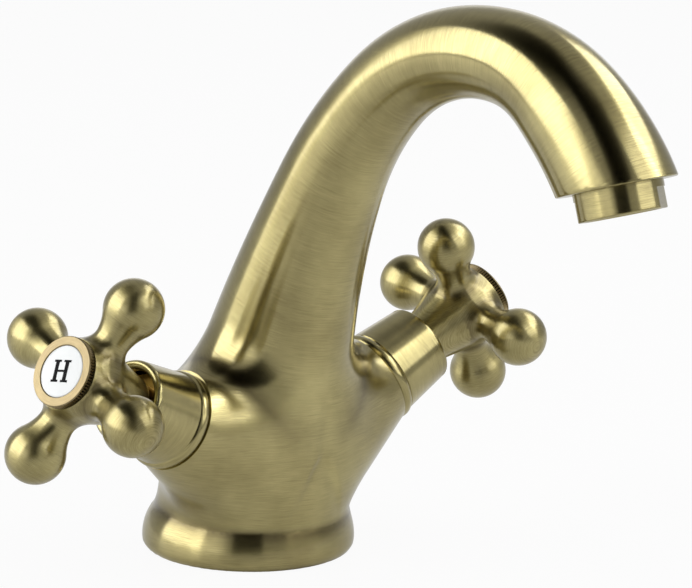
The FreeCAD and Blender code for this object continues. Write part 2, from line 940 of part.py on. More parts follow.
def make_shroud(side):
    """The tapered cover over the headwork, screwed on to the spigot, with a thick rounded front."""
    thread = dim.spigot_radius + dim.fit_gap
    thread_end = spigot_end + dim.shroud_thread_relief
    cavity = dim.shroud_cavity_radius
    cavity_end = hex_top + dim.fit_gap
    throat = dim.shroud_throat_radius
    throat_end = shroud_front - dim.shroud_lip
    opening, outside = dim.shroud_opening_radius, dim.shroud_front_radius
    rim, rim_start = dim.shroud_rim_round, shroud_front - dim.shroud_rim_round
    return turned_body(
        side + "_shroud",
        [
            (thread, shroud_rear),
            (dim.shroud_rear_radius, shroud_rear),
            (outside, rim_start, rim, 1),
            (outside - rim, shroud_front),
            (opening + rim, shroud_front, rim, 1),
            (opening, rim_start),
            (opening, throat_end),
            (throat, throat_end),
            (throat, cavity_end + dim.shroud_throat_step),
            (cavity, cavity_end),
            (cavity, thread_end),
            (thread, thread_end),
        ],
    )


def make_valve_body(side):
    """The headwork: threaded shank with outlet windows, collar, hexagon and neck."""
    shank = dim.valve_thread_radius
    chamber_roof = driver_top + dim.running_gap
    bore = dim.spindle_radius + dim.running_gap
    body = turned_body(
        side + "_valve_body",
        [
            (dim.valve_chamber_radius, valve_bottom),
            (shank, valve_bottom),
            (shank, collar_bottom),
            (dim.collar_radius, collar_bottom),
            (dim.collar_radius, hex_bottom),
            (dim.valve_neck_radius, hex_bottom),
            (dim.valve_neck_radius, valve_top),
            (bore, valve_top),
            (bore, chamber_roof),
            (dim.valve_chamber_radius, chamber_roof),
        ],
    )
    hexagon = new_sketch(body, "XY_Plane", "hexagon", hex_bottom)
    draw_hexagon(hexagon, dim.hex_flats)
    draw_circle(hexagon, ZERO, ZERO, dim.valve_neck_radius - dim.past)
    pad = body.newObject("PartDesign::Pad", "hexagon_pad")
    pad.Profile = hexagon
    bind(pad, Length=dim.hex_height)
    doc.recompute()
    window = new_sketch(body, "XY_Plane", "window", moving_disc_bottom + dim.window_height)
    inside, outside = dim.disc_radius - dim.window_inset, shank + dim.past
    half = dim.window_width * HALF
    draw_outline(window, [(inside, -half), (outside, -half), (outside, half), (inside, half)])
    doc.recompute()
    opening = cut_pocket(body, "window_cut", window, dim.window_height)
    repeat_around(body, "windows", opening, Size.of(2))
    return body


def make_gasket(side):
    return ring_body(
        side + "_valve_gasket",
        dim.valve_thread_radius + dim.fit_gap,
        dim.collar_radius,
        spigot_end,
        collar_bottom,
    )


def make_seat_seal(side):
    return ring_body(
        side + "_seat_seal",
        dim.seat_seal_bore,
        dim.disc_radius,
        seat_floor,
        fixed_disc_bottom,
    )


def make_disc(label, bottom, slot):
    """A ceramic disc with two sector ports. The moving one has a slot for the spindle's tongue."""
    body = turned_body(
        label,
        [
            (0, bottom),
            (dim.disc_radius, bottom),
            (dim.disc_radius, bottom + dim.disc_thickness),
            (0, bottom + dim.disc_thickness),
        ],
    )
    sketch = new_sketch(body, "XY_Plane", "port", bottom + dim.disc_thickness)
    half = math.radians(number("disc_port_angle") * HALF)
    cosine, sine = math.cos(half), math.sin(half)
    inner, outer = dim.disc_port_inner, dim.disc_port_outer
    draw_outline(
        sketch,
        [
            (inner * cosine, -inner * sine),
            (outer * cosine, -outer * sine, outer, 1),
            (outer * cosine, outer * sine),
            (inner * cosine, inner * sine, inner, -1),
        ],
    )
    doc.recompute()
    port = cut_pocket(body, "port_cut", sketch, dim.disc_thickness + dim.past)
    repeat_around(body, "ports", port, Size.of(2))
    if slot:
        groove = new_sketch(body, "XY_Plane", "slot", bottom + dim.disc_thickness)
        draw_bar(groove, dim.tongue_length + dim.fit_gap * 2, dim.tongue_width + dim.fit_gap * 2)
        doc.recompute()
        cut_pocket(body, "slot_cut", groove, dim.tongue_depth + dim.fit_gap)
    return body


# ---------------------------------------------------------------------------------------------
# one side's moving pieces
# ---------------------------------------------------------------------------------------------
def make_spindle(side):
    """Spindle with a driver that turns the upper disc, seal and clip grooves and a splined end."""
    shaft = dim.spindle_radius
    groove = shaft - dim.o_ring_section
    groove_start = o_ring_middle - dim.o_ring_section
    groove_end = o_ring_middle + dim.o_ring_section
    clip_groove = shaft - dim.circlip_groove_depth
    clip_end = circlip_bottom + dim.circlip_thickness + dim.running_gap
    hole, hole_end = dim.screw_radius, spindle_top - dim.screw_hole_reach
    body = turned_body(
        side + "_spindle",
        [
            (0, driver_bottom),
            (dim.driver_radius, driver_bottom),
            (dim.driver_radius, driver_top),
            (shaft, driver_top),
            (shaft, groove_start),
            (groove, groove_start),
            (groove, groove_end),
            (shaft, groove_end),
            (shaft, circlip_bottom),
            (clip_groove, circlip_bottom),
            (clip_groove, clip_end),
            (shaft, clip_end),
            (shaft, spindle_top),
            (hole, spindle_top),
            (hole, hole_end),
            (0, hole_end),
        ],
    )
    tongue = new_sketch(body, "XY_Plane", "tongue", driver_bottom - dim.tongue_depth)
    draw_bar(tongue, dim.tongue_length, dim.tongue_width)
    pad = body.newObject("PartDesign::Pad", "tongue_pad")
    pad.Profile = tongue
    bind(pad, Length=dim.tongue_depth)
    doc.recompute()
    cut_spline(body, SPINDLE_SPACE, shaft, spindle_top, dim.spline_length, -dim.spline_depth)
    return body


# A tooth space's half widths at its mouth and its root, as shares of the spline's pitch: on the
# spindle, and in the handle, where the spindle's teeth go in with a gap on both sides.
SPINDLE_SPACE = (0.3, 0.16)
HANDLE_SPACE = (0.34, 0.25)


def cut_spline(body, space, radius, height, depth, reach):
    """Tooth spaces around a shaft (reach inwards, below zero) or a bore (reach outwards)."""
    pitch = dim.spindle_radius * (2 * math.pi / number("spline_teeth"))
    wide, narrow = pitch * space[0], pitch * space[1]
    overlap = dim.fit_gap if reach.number < 0 else -dim.fit_gap
    mouth, root = radius + overlap, radius + reach
    sketch = new_sketch(body, "XY_Plane", "tooth_space", height)
    draw_outline(sketch, [(mouth, -wide), (mouth, wide), (root, narrow), (root, -narrow)])
    doc.recompute()
    cut = cut_pocket(body, "tooth_space_cut", sketch, depth)
    return repeat_around(body, "tooth_spaces", cut, dim.spline_teeth)


def make_spindle_o_ring(side):
    """A rubber ring in the spindle's groove, drawn at its squeezed size."""
    half = dim.o_ring_section
    return ring_body(
        side + "_spindle_o_ring",
        dim.spindle_radius - dim.o_ring_section,
        dim.spindle_radius,
        o_ring_middle - half,
        o_ring_middle + half,
    )


def make_circlip(side):
    """The retaining clip over the headwork's neck, open on one side."""
    top = circlip_bottom + dim.circlip_thickness
    body = ring_body(
        side + "_circlip",
        dim.spindle_radius - dim.circlip_groove_depth,
        dim.circlip_radius,
        circlip_bottom,
        top,
    )
    gap = new_sketch(body, "XY_Plane", "gap", top)
    far, half = dim.circlip_radius + dim.past, dim.circlip_gap * HALF
    draw_outline(gap, [(0, -half), (far, -half), (far, half), (0, half)])
    doc.recompute()
    cut_pocket(body, "gap_cut", gap, dim.circlip_thickness + dim.past)
    return body


def arm_outline():
    """Half the outline of one arm along its own axis: a ball end that runs into a slim neck through
    one hollow arc that touches both."""
    ball, reach, neck = dim.arm_ball_radius, dim.arm_ball_reach, dim.arm_neck_radius
    run = (reach - dim.arm_neck_reach).number
    swell = (ball - neck).number
    hollow = (run**2 + neck.number**2 - ball.number**2) / (2 * swell)
    share = ball.number / (hollow + ball.number)
    touch = (reach - share * run, (neck + hollow) * share)
    return [
        (dim.arm_start, 0),
        (reach + ball, 0, ball, 1),
        (*touch, hollow, -1),
        (dim.arm_neck_reach, neck),
        (dim.arm_start, neck),
    ]


def joins_hub(edge):
    """True on the curve where an arm grows out of the hub."""
    if edge.Degenerated:
        return False
    middle = edge.BoundBox.Center
    reach = math.hypot(middle.x, middle.y)
    line = edge.Curve.TypeId in ("Part::GeomLine", "Part::GeomCircle")
    near = number("arm_start") < reach < number("arm_neck_reach")
    return near and abs(middle.z) < number("arm_start") and not line


def make_cross_handle(side):
    """The cast handle: flared skirt, four arms with ball ends, spline bore and screw seat."""
    body = new_body(side + "_cross_handle")
    turn_outline(
        body,
        "hub",
        [
            (0, skirt_rear),
            (dim.skirt_rear_radius - dim.skirt_edge, skirt_rear),
            (dim.skirt_rear_radius, skirt_rear + dim.skirt_edge),
            (dim.hub_radius, -dim.hub_widest_setback, dim.hub_dome_bend, 1),
            (dim.hub_front_radius, dim.hub_front_height),
            (0, dim.hub_front_height),
        ],
    )
    sketch = new_sketch(body, "XZ_Plane", "arm_outline")
    draw_outline(sketch, arm_outline())
    doc.recompute()
    arm = body.newObject("PartDesign::Revolution", "arm")
    arm.Profile = sketch
    arm.ReferenceAxis = (sketch, ["H_Axis"])
    arm.Angle = 360
    doc.recompute()
    repeat_around(body, "arms", arm, dim.arm_count)

    edges = [f"Edge{i}" for i, e in enumerate(body.Shape.Edges, start=1) if joins_hub(e)]
    fillet = body.newObject("PartDesign::Fillet", "arm_roots")
    fillet.Base = (fillet.BaseFeature, edges)
    bind(fillet, Radius=dim.arm_fillet)
    doc.recompute()

    before = body.Shape.Volume
    spline_bore = dim.spindle_radius - dim.spline_depth + dim.fit_gap
    spline_top = spindle_top + dim.fit_gap
    spline_end = spindle_top - dim.spline_length + dim.spline_run_out
    screw_hole = dim.screw_radius + dim.screw_clearance
    head_hole = dim.screw_head_radius + dim.head_clearance
    cut = turn_outline(
        body,
        "hub_hollow",
        [
            (0, skirt_rear - dim.past),
            (dim.skirt_bore, skirt_rear - dim.past),
            (dim.skirt_bore, spline_end),
            (spline_bore, spline_end),
            (spline_bore, spline_top),
            (screw_hole, spline_top),
            (screw_hole, head_seat),
            (head_hole, head_seat),
            (head_hole, index_floor),
            (dim.index_seat_radius, index_floor),
            (dim.index_seat_radius, dim.hub_front_height + dim.past),
            (0, dim.hub_front_height + dim.past),
        ],
        kind="Groove",
    )
    volume_check(body, before, cut)
    cut_spline(
        body,
        HANDLE_SPACE,
        spline_bore,
        spline_top,
        dim.spline_length,
        dim.spline_depth + dim.fit_gap,
    )
    return body


def make_handle_screw(side):
    """The socket-head screw that holds the handle on its spindle."""
    shank = dim.screw_radius - dim.fit_gap
    tip = spindle_top - dim.screw_reach
    head_top = head_seat + dim.screw_head_height
    body = turned_body(
        side + "_handle_screw",
        [
            (0, tip),
            (shank - dim.screw_edge, tip),
            (shank, tip + dim.screw_edge),
            (shank, head_seat),
            (dim.screw_head_radius, head_seat),
            (dim.screw_head_radius, head_top - dim.screw_edge),
            (dim.screw_head_radius - dim.screw_edge, head_top),
            (0, head_top),
        ],
    )
    socket = new_sketch(body, "XY_Plane", "socket", head_top)
    draw_hexagon(socket, dim.screw_socket_flats)
    doc.recompute()
    cut_pocket(body, "socket_cut", socket, dim.screw_socket_depth)
    return body


# A knurl notch's half width at the rim, as a share of half the knurl's pitch.
NOTCH_MOUTH = 0.62


def make_index_ring(side):
    """The screwed ring round the button: a polished lip, a knurled rim and a flat front."""
    rear = dim.hub_front_height - dim.index_spigot_depth
    lip = dim.hub_front_height + dim.index_lip_height
    front = dim.hub_front_height + dim.index_ring_height
    ledge = front - dim.button_height
    rim = dim.index_knurl_radius
    spigot = dim.index_seat_radius - dim.fit_gap
    window = dim.button_radius + dim.fit_gap
    body = turned_body(
        side + "_index_ring",
        [
            (dim.index_bore_radius, rear),
            (spigot, rear),
            (spigot, dim.hub_front_height),
            (dim.index_lip_radius, dim.hub_front_height),
            (dim.index_lip_radius, lip),
            (rim, lip),
            (rim, front - dim.index_chamfer),
            (rim - dim.index_chamfer, front),
            (window, front),
            (window, ledge),
            (dim.index_bore_radius, ledge),
        ],
    )
    notch = new_sketch(body, "XY_Plane", "knurl_notch", front + dim.past)
    half = rim * (NOTCH_MOUTH * math.pi / number("knurl_teeth"))
    mouth = rim + dim.knurl_overlap
    draw_outline(notch, [(rim - dim.knurl_depth, 0), (mouth, -half), (mouth, half)])
    doc.recompute()
    space = cut_pocket(body, "knurl_space", notch, front - lip + dim.past)
    repeat_around(body, "knurl", space, dim.knurl_teeth)
    return body


def make_index_button(side):
    """The white ceramic button with a slightly domed face."""
    front = dim.hub_front_height + dim.index_ring_height
    edge = front - dim.button_edge
    rise, half_width = number("button_dome"), number("button_radius")
    bend = (half_width**2 + rise**2) / (2 * rise)
    return turned_body(
        side + "_index_button",
        [
            (0, front - dim.button_height),
            (dim.button_radius, front - dim.button_height),
            (dim.button_radius, edge, bend, 1),
            (0, edge + dim.button_dome),
        ],
    )


# ---------------------------------------------------------------------------------------------
# assembly and output
# ---------------------------------------------------------------------------------------------
nodes = [make_body_casting(), make_base_seal()] + make_aerator()
half_a_tooth = 180 / number("spline_teeth")
for side in SIDES:
    with_handle = [
        make_cross_handle(side),
        make_handle_screw(side),
        make_index_ring(side),
        make_index_button(side),
    ]
    with_spindle = [
        make_disc(side + "_moving_disc", moving_disc_bottom, slot=True),
        make_spindle(side),
        make_spindle_o_ring(side),
        make_circlip(side),
    ]
    with_body = [
        make_trim_ring(side),
        make_shroud(side),
        make_valve_body(side),
        make_gasket(side),
        make_seat_seal(side),
        make_disc(side + "_fixed_disc", fixed_disc_bottom, slot=False),
    ]
    handle_spin = number(side + "_handle_spin")
    spindle_spin = handle_spin + half_a_tooth
    closed_spin = spindle_spin - number("closed_turn")
    for pieces, spin in (
        (with_handle, handle_spin),
        (with_spindle, spindle_spin),
        (with_body, closed_spin),
    ):
        for piece in pieces:
            piece.Placement = valve_frame(side, spin)
        nodes += pieces

doc.recompute()
faults = [item.Name for item in doc.Objects if {"Invalid", "Error"} & set(item.State)]
for node in nodes:
    if node.Shape.isNull() or not node.Shape.isValid() or not node.Shape.Solids:
        faults.append(node.Label)
if faults:
    raise RuntimeError("failed: " + ", ".join(faults))

os.makedirs("parts", exist_ok=True)
for node in nodes:
    node.Shape.exportStep(f"parts/{node.Label}.step")
    print(node.Label, len(node.Shape.Solids), round(node.Shape.Volume, 1))
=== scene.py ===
import math

import bmesh
import bpy
import numpy as np
from mathutils import Matrix, Vector


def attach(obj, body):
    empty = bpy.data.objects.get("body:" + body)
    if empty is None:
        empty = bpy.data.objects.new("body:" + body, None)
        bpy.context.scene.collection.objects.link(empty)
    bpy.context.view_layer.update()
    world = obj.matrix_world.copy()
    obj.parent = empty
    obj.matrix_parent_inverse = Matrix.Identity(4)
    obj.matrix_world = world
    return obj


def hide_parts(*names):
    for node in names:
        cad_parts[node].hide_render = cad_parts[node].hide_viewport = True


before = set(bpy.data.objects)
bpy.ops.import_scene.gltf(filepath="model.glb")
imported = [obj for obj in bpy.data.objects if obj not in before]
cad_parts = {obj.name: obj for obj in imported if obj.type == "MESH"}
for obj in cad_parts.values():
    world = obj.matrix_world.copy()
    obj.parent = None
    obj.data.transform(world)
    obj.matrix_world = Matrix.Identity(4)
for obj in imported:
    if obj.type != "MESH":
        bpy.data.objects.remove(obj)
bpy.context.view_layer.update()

# ----------------------------
# Body casting. One brass casting makes the foot, the belly with a branch for each valve, and the
# swan-neck spout. It is sand cast, ground smooth, darkened, then brushed across its length, so that
# fine lines run round it, and lacquered. Sizes are in millimetres and degrees.
# ----------------------------
MM = 0.001
SIDES = {"hot": -1, "cold": 1}
SPARE = 4

SPOUT_START = (-1.8, 14.0)
SPOUT_LEAN = 8.2
SPOUT_ARCS = ((314.0, 19.0), (102.3, 20.0), (58.8, 49.8), (42.3, 29.5), (81.0, 90.0))
SPOUT_FROM, SPOUT_TO = -13.0, 252.0
ALONG = np.array([-13, 0, 10, 30, 62, 94, 128, 164, 196, 218, 238, 252.0])
RADII = np.array([27.2, 27.8, 27.9, 24.3, 19.7, 16.0, 13.4, 12.5, 13.0, 14.9, 15.8, 15.8])


def spout_line(step=1.0):
    """Points and headings down the middle of the spout, and the radius of the casting at each."""
    along = np.arange(SPOUT_FROM, SPOUT_TO + step / 2, step)
    y, z, heading = np.empty_like(along), np.empty_like(along), np.zeros_like(along)
    for i, left in enumerate(along):
        y[i], z[i] = SPOUT_START
        if left < 0:
            z[i] += left
            continue
        angle = math.radians(SPOUT_LEAN)
        for bend, turn in SPOUT_ARCS:
            run = min(left, bend * math.radians(turn))
            after = angle + run / bend
            y[i] += bend * (math.cos(after) - math.cos(angle))
            z[i] += bend * (math.sin(after) - math.sin(angle))
            angle = after
            left -= run
            if left <= 0:
                break
        heading[i] = angle
    rises = np.diff(RADII) / np.diff(ALONG)
    slopes = np.concatenate([[rises[0]], (rises[1:] + rises[:-1]) / 2, [0]])
    k = np.clip(np.searchsorted(ALONG, along, side="right") - 1, 0, len(ALONG) - 2)
    span = ALONG[k + 1] - ALONG[k]
    u = (along - ALONG[k]) / span
    radius = (2 * u**3 - 3 * u**2 + 1) * RADII[k] + (u**3 - 2 * u**2 + u) * span * slopes[k]
    radius += (3 * u**2 - 2 * u**3) * RADII[k + 1] + (u**3 - u**2) * span * slopes[k + 1]
    return along, y, z, heading, radius


LINE_ALONG, LINE_Y, LINE_Z, LINE_HEADING, LINE_RADIUS = spout_line()


def on_line(points):
    """For each point: how far along the spout line its section lies, and its own place in it."""
    across_y = points[:, 1, None] - LINE_Y
    across_z = points[:, 2, None] - LINE_Z
    k = np.clip((across_y**2 + across_z**2).argmin(1), 1, len(LINE_Y) - 2)
    sine, cosine = np.sin(LINE_HEADING[k]), np.cos(LINE_HEADING[k])
    dy, dz = points[:, 1] - LINE_Y[k], points[:, 2] - LINE_Z[k]
    step = dz * cosine - dy * sine
    return k, LINE_ALONG[k] + step, dy * cosine + dz * sine


def column_gap(points):
    """Gap to the column and spout, whose section is round about the spout line."""
    k, along, forward = on_line(points)
    radius = np.interp(along, LINE_ALONG, LINE_RADIUS)
    slope = (LINE_RADIUS[k + 1] - LINE_RADIUS[k - 1]) / (LINE_ALONG[k + 1] - LINE_ALONG[k - 1])
    gap = (np.hypot(points[:, 0], forward) - radius) / np.sqrt(1 + slope**2)
    return np.maximum(gap, np.maximum(along - SPOUT_TO, SPOUT_FROM - along))


FOOT_EDGE, FOOT_RIM, FOOT_SHOULDER, FOOT_TOP = (29.6, 0.0), (31.15, 2.2), (28.9, 10.6), (23.6, 19.0)
EDGE_BEND, RIM_BEND, COVE_BEND, FOOT_SLOPE = 2.4, 14.0, 20.0, 0.88


def arc_radius(height, low, high, bend, side):
    """Radius at a height on the arc from low to high, hollow where side is -1."""
    rise, run = high[1] - low[1], high[0] - low[0]
    chord = math.hypot(rise, run)
    away = math.sqrt(bend**2 - chord**2 / 4)
    middle_r = (low[0] + high[0]) / 2 - side * rise / chord * away
    middle_z = (low[1] + high[1]) / 2 + side * run / chord * away
    return middle_r + side * np.sqrt(np.maximum(bend**2 - (height - middle_z) ** 2, 0))


def foot_gap(points):
    """Gap to the foot: its broken edge, its rounded rim and the hollow cove above it."""
    z = points[:, 2]
    edge = arc_radius(np.clip(z, 0, FOOT_RIM[1]), FOOT_EDGE, FOOT_RIM, EDGE_BEND, 1)
    rim = arc_radius(np.clip(z, FOOT_RIM[1], FOOT_SHOULDER[1]), FOOT_RIM, FOOT_SHOULDER, RIM_BEND, 1)
    cove = arc_radius(np.clip(z, FOOT_SHOULDER[1], FOOT_TOP[1]), FOOT_SHOULDER, FOOT_TOP, COVE_BEND, -1)
    radius = np.where(z < FOOT_RIM[1], edge, np.where(z < FOOT_SHOULDER[1], rim, cove))
    return np.maximum((np.hypot(points[:, 0], points[:, 1]) - radius) * FOOT_SLOPE, z - FOOT_TOP[1])


HUB = np.array([73.1, -13.87, 62.62])
VALVE_TILT, VALVE_LEAN = math.radians(26.86), math.radians(5.63)
BOSS_FACE, BOSS_RADIUS, BOSS_FLARE = -38.5, 14.3, math.radians(17.0)
BOSS_FLANK, BOSS_BEND = 20.0, 50.0


def valve_frame(side, spin=0.0):
    """Rows: upwards, across and outwards of one valve, turned by spin degrees about its axis, and
    the point where the handle's arms cross that axis."""
    flat = math.cos(VALVE_TILT)
    forward = -flat * math.sin(VALVE_LEAN)
    outward = np.array([SIDES[side] * flat * math.cos(VALVE_LEAN), forward, math.sin(VALVE_TILT)])
    upward = np.array([0, 0, 1.0]) - outward * outward[2]
    upward /= np.linalg.norm(upward)
    across = np.cross(outward, upward)
    turn = math.radians(spin)
    first = math.cos(turn) * upward + math.sin(turn) * across
    second = math.cos(turn) * across - math.sin(turn) * upward
    return np.array([first, second, outward]), HUB * (SIDES[side], 1, 1)


def boss_gap(points, side):
    """Gap to one branch: a cone that flares inwards and rounds off inside the belly."""
    rows, hub = valve_frame(side)
    own = (points - hub) @ rows.T
    out, reach = own[:, 2], np.hypot(own[:, 0], own[:, 1])
    flank_end = BOSS_FACE - BOSS_FLANK
    flank = BOSS_RADIUS + (BOSS_FACE - out) * math.tan(BOSS_FLARE)
    bend_end = flank_end - BOSS_BEND * math.sin(BOSS_FLARE)
    inner = np.clip((out - bend_end) / BOSS_BEND, 0, 1)
    widest = BOSS_RADIUS + BOSS_FLANK * math.tan(BOSS_FLARE) + BOSS_BEND * (1 - math.cos(BOSS_FLARE))
    radius = np.where(out > flank_end, flank, widest - BOSS_BEND * (1 - np.sqrt(1 - inner**2)))
    gap = np.maximum((reach - radius) * math.cos(BOSS_FLARE), bend_end - out)
    return np.maximum(gap, out - BOSS_FACE - SPARE)


def melt(a, b, width):
    """The smaller of two gaps, run together where they are within width of each other."""
    near = np.maximum(width - np.abs(a - b), 0) / width
    return np.minimum(a, b) - near**2 * width / 4


ROOT_LOW, ROOT_HIGH, ROOT_FROM, ROOT_RISE = 5.0, 16.5, 28.0, 22.0
FOOT_CREASE = 3.2


def casting_gap(points):
    """How far each point is outside the casting's skin, below zero inside the metal. It runs on
    by SPARE past the faces that are cut square later."""
    rise = np.clip((points[:, 2] - ROOT_FROM) / ROOT_RISE, 0, 1)
    root = ROOT_LOW + (ROOT_HIGH - ROOT_LOW) * rise**2 * (3 - 2 * rise)
    bosses = np.minimum(boss_gap(points, "hot"), boss_gap(points, "cold"))
    gap = melt(column_gap(points), bosses, root)
    return np.maximum(melt(gap, foot_gap(points), FOOT_CREASE), -points[:, 2] - SPARE)


def in_parts(gap, points, size=40000):
    """The gap at many points, a batch at a time to spare memory."""
    return np.concatenate([gap(points[i : i + size]) for i in range(0, len(points), size)])


def net_over(gap, low, high, step, block=4):
    """Even quads over the skin where a gap is zero: one corner in each cell that the skin crosses."""
    low, high = np.array(low, float), np.array(high, float)
    blocks = np.ceil((high - low) / (step * block)).astype(int)
    centres = np.stack(np.meshgrid(*[np.arange(n) for n in blocks], indexing="ij"), -1).reshape(-1, 3)
    rough = in_parts(gap, low + (centres * block + (block - 1) / 2) * step)
    field = rough.reshape(blocks)
    for axis in range(3):
        field = np.repeat(field, block, axis)
    near = centres[np.abs(rough) < step * (block * 0.87 + 1.5)]
    inside_block = np.stack(np.meshgrid(*[np.arange(block)] * 3, indexing="ij"), -1).reshape(-1, 3)
    fine = (near[:, None] * block + inside_block).reshape(-1, 3)
    field[tuple(fine.T)] = in_parts(gap, low + fine * step)

    solid = field < 0
    corner = [(i, j, k) for i in (0, 1) for j in (0, 1) for k in (0, 1)]
    size = np.array(field.shape) - 1
    parts = [solid[i : i + size[0], j : j + size[1], k : k + size[2]] for i, j, k in corner]
    count = sum(part.astype(np.int8) for part in parts)
    cells = np.argwhere((count > 0) & (count < 8))
    total, crossings = np.zeros((len(cells), 3)), np.zeros(len(cells))
    for start in corner:
        for axis in range(3):
            if start[axis]:
                continue
            end = tuple(int(i == axis) or start[i] for i in range(3))
            a, b = field[tuple((cells + start).T)], field[tuple((cells + end).T)]
            cross = (a < 0) != (b < 0)
            share = np.where(cross, a / np.where(cross, a - b, 1), 0)
            place = cells + start + share[:, None] * (np.array(end) - start)
            total += place * cross[:, None]
            crossings += cross
    points = low + total / crossings[:, None] * step
    number = np.full(size, -1)
    number[tuple(cells.T)] = np.arange(len(cells))
    quads = []
    for axis in range(3):
        one, two = (axis + 1) % 3, (axis + 2) % 3
        here = np.take(solid, np.arange(size[axis]), axis)
        there = np.take(solid, np.arange(1, size[axis] + 1), axis)
        for first, flip in ((here & ~there, False), (~here & there, True)):
            at = np.argwhere(first)
            beside = at[:, [one, two]]
            at = at[((beside > 0) & (beside < size[[one, two]])).all(1)]
            u, v = np.eye(3, dtype=int)[one], np.eye(3, dtype=int)[two]
            ring = [number[tuple((at - shift).T)] for shift in (0 * u, u, u + v, v)]
            quads.append(np.stack(ring[::-1] if flip else ring, 1))
    return points, np.concatenate(quads)


def slope_of(gap, points, reach=0.02):
    """The gap at each point, and the step that would bring it up by one millimetre."""
    here = in_parts(gap, points)
    there = [in_parts(gap, points + np.eye(3)[i] * reach) for i in range(3)]
    slope = (np.stack(there, 1) - here[:, None]) / reach
    return here, slope / np.maximum((slope**2).sum(1), 1e-6)[:, None]


def settle(gap, points, quads, rounds):
    """Even out a net's corners along the skin, and bring each one on to it."""
    ends = np.stack([quads, np.roll(quads, -1, 1)], 2).reshape(-1, 2)
    ends = np.concatenate([ends, ends[:, ::-1]])
    share = np.bincount(ends[:, 0], minlength=len(points))
    for _ in range(rounds):
        near = points[ends[:, 1]]
        middle = np.stack([np.bincount(ends[:, 0], near[:, i], len(points)) for i in range(3)], 1)
        move = middle / np.maximum(share, 1)[:, None] - points
        here, slope = slope_of(gap, points)
        normal = slope / np.linalg.norm(slope, axis=1)[:, None]
        move -= normal * (move * normal).sum(1)[:, None]
        points = points + 0.6 * move - slope * here[:, None]
    here, slope = slope_of(gap, points)
    return points - slope * here[:, None]


def each_once(found):
    """Each thing found, once and in order, so that every run makes the same mesh."""
    return list(dict.fromkeys(found))


SLIVER, CREASE_ANGLE = 0.25, math.radians(35.0)


def cut_square(sheet, point, outward, within=40.0):
    """Cut a mesh at a plane, near a point on it, and return the edges of the opening, without
    slivers."""
    point, outward = Vector(point), Vector(outward)
    faces = [f for f in sheet.faces if (f.verts[0].co - point).length < within]
    near = faces + each_once(v for f in faces for v in f.verts)
    near += each_once(e for f in faces for e in f.edges)
    plane = {"plane_co": point, "plane_no": outward, "clear_outer": True}
    bmesh.ops.bisect_plane(sheet, geom=near, dist=1e-9, **plane)

    def on_plane(vert):
        return abs((vert.co - point).dot(outward)) < 1e-4

    rim = [e for e in sheet.edges if e.is_boundary and on_plane(e.verts[0]) and on_plane(e.verts[1])]
    beside = each_once(v for e in rim for f in e.link_faces for v in f.verts)
    bmesh.ops.remove_doubles(sheet, verts=beside, dist=SLIVER)
    rim = [e for e in sheet.edges if e.is_boundary and abs((e.verts[0].co - point).dot(outward)) < 0.4]
    rim = [e for e in rim if (e.verts[0].co - point).length < within]
    for edge in rim:
        for vert in edge.verts:
            vert.co -= outward * (vert.co - point).dot(outward)
    return rim


def add_ring(sheet, rim, place):
    """Carry an opening's edges on to new places, and join the two rims with faces."""
    fresh = {}
    for edge in rim:
        for vert in edge.verts:
            if vert not in fresh:
                fresh[vert] = sheet.verts.new(place(vert.co))
    for edge in rim:
        a, b = edge.verts
        sheet.faces.new((a, b, fresh[b], fresh[a]))
    return [sheet.edges.get((fresh[e.verts[0]], fresh[e.verts[1]])) for e in rim]


def close_rim(sheet, rim, centre, outward, rings):
    """Rings about an axis, each given as (radius, distance outwards), a radius below zero as an
    inset from the rim before it, then a cap over the last one."""
    centre, outward = Vector(centre), Vector(outward)

    def placed(radius, out):
        def place(at):
            spoke = at - centre
            spoke -= outward * spoke.dot(outward)
            reach = spoke.length + radius if radius < 0 else radius
            return centre + spoke.normalized() * reach + outward * out

        return place

    for radius, out in rings:
        rim = add_ring(sheet, rim, placed(radius, out))
    middle = sheet.verts.new(centre + outward * rings[-1][1])
    for edge in rim:
        sheet.faces.new((*edge.verts, middle))


def turned_shell(rows, turns=96):
    """Corners and quads of a shell turned about Z, from (radius, height) rows that run along the
    outline with the metal on their left; a row of radius zero is a pole."""
    angle = np.arange(turns) * (2 * math.pi / turns)
    corners, starts = [], []
    for radius, height in rows:
        starts.append(sum(len(c) for c in corners))
        ring = np.stack([radius * np.cos(angle), radius * np.sin(angle), np.full(turns, height)], 1)
        corners.append(ring if radius > 0 else ring[:1])
    faces = []
    closed = rows[0][0] > 0 and rows[-1][0] > 0
    pairs = list(zip(range(len(rows)), range(1, len(rows)))) + ([(len(rows) - 1, 0)] if closed else [])
    for a, b in pairs:
        for i in range(turns):
            j = (i + 1) % turns
            p, q = starts[a], starts[b]
            if rows[a][0] == 0:
                faces.append((p, q + j, q + i))
            elif rows[b][0] == 0:
                faces.append((p + i, p + j, q))
            else:
                faces.append((p + i, p + j, q + j, q + i))
    return np.concatenate(corners), faces


def add_shell(sheet, corners, faces):
    verts = [sheet.verts.new(c) for c in corners]
    for face in faces:
        sheet.faces.new([verts[i] for i in face])


def in_scene(name, data):
    """An object made of the given data, in the scene."""
    thing = bpy.data.objects.new(name, data)
    bpy.context.scene.collection.objects.link(thing)
    return thing


def finished(name, sheet):
    """A mesh in millimetres made an object in metres: even normals, sharp edges kept crisp."""
    bmesh.ops.recalc_face_normals(sheet, faces=sheet.faces[:])
    for face in sheet.faces:
        face.smooth = True
    for edge in sheet.edges:
        edge.smooth = not (len(edge.link_faces) == 2 and edge.calc_face_angle(0) > CREASE_ANGLE)
    bmesh.ops.scale(sheet, verts=sheet.verts[:], vec=(MM, MM, MM))
    mesh = bpy.data.meshes.new(name)
    sheet.to_mesh(mesh)
    sheet.free()
    return in_scene(name, mesh)


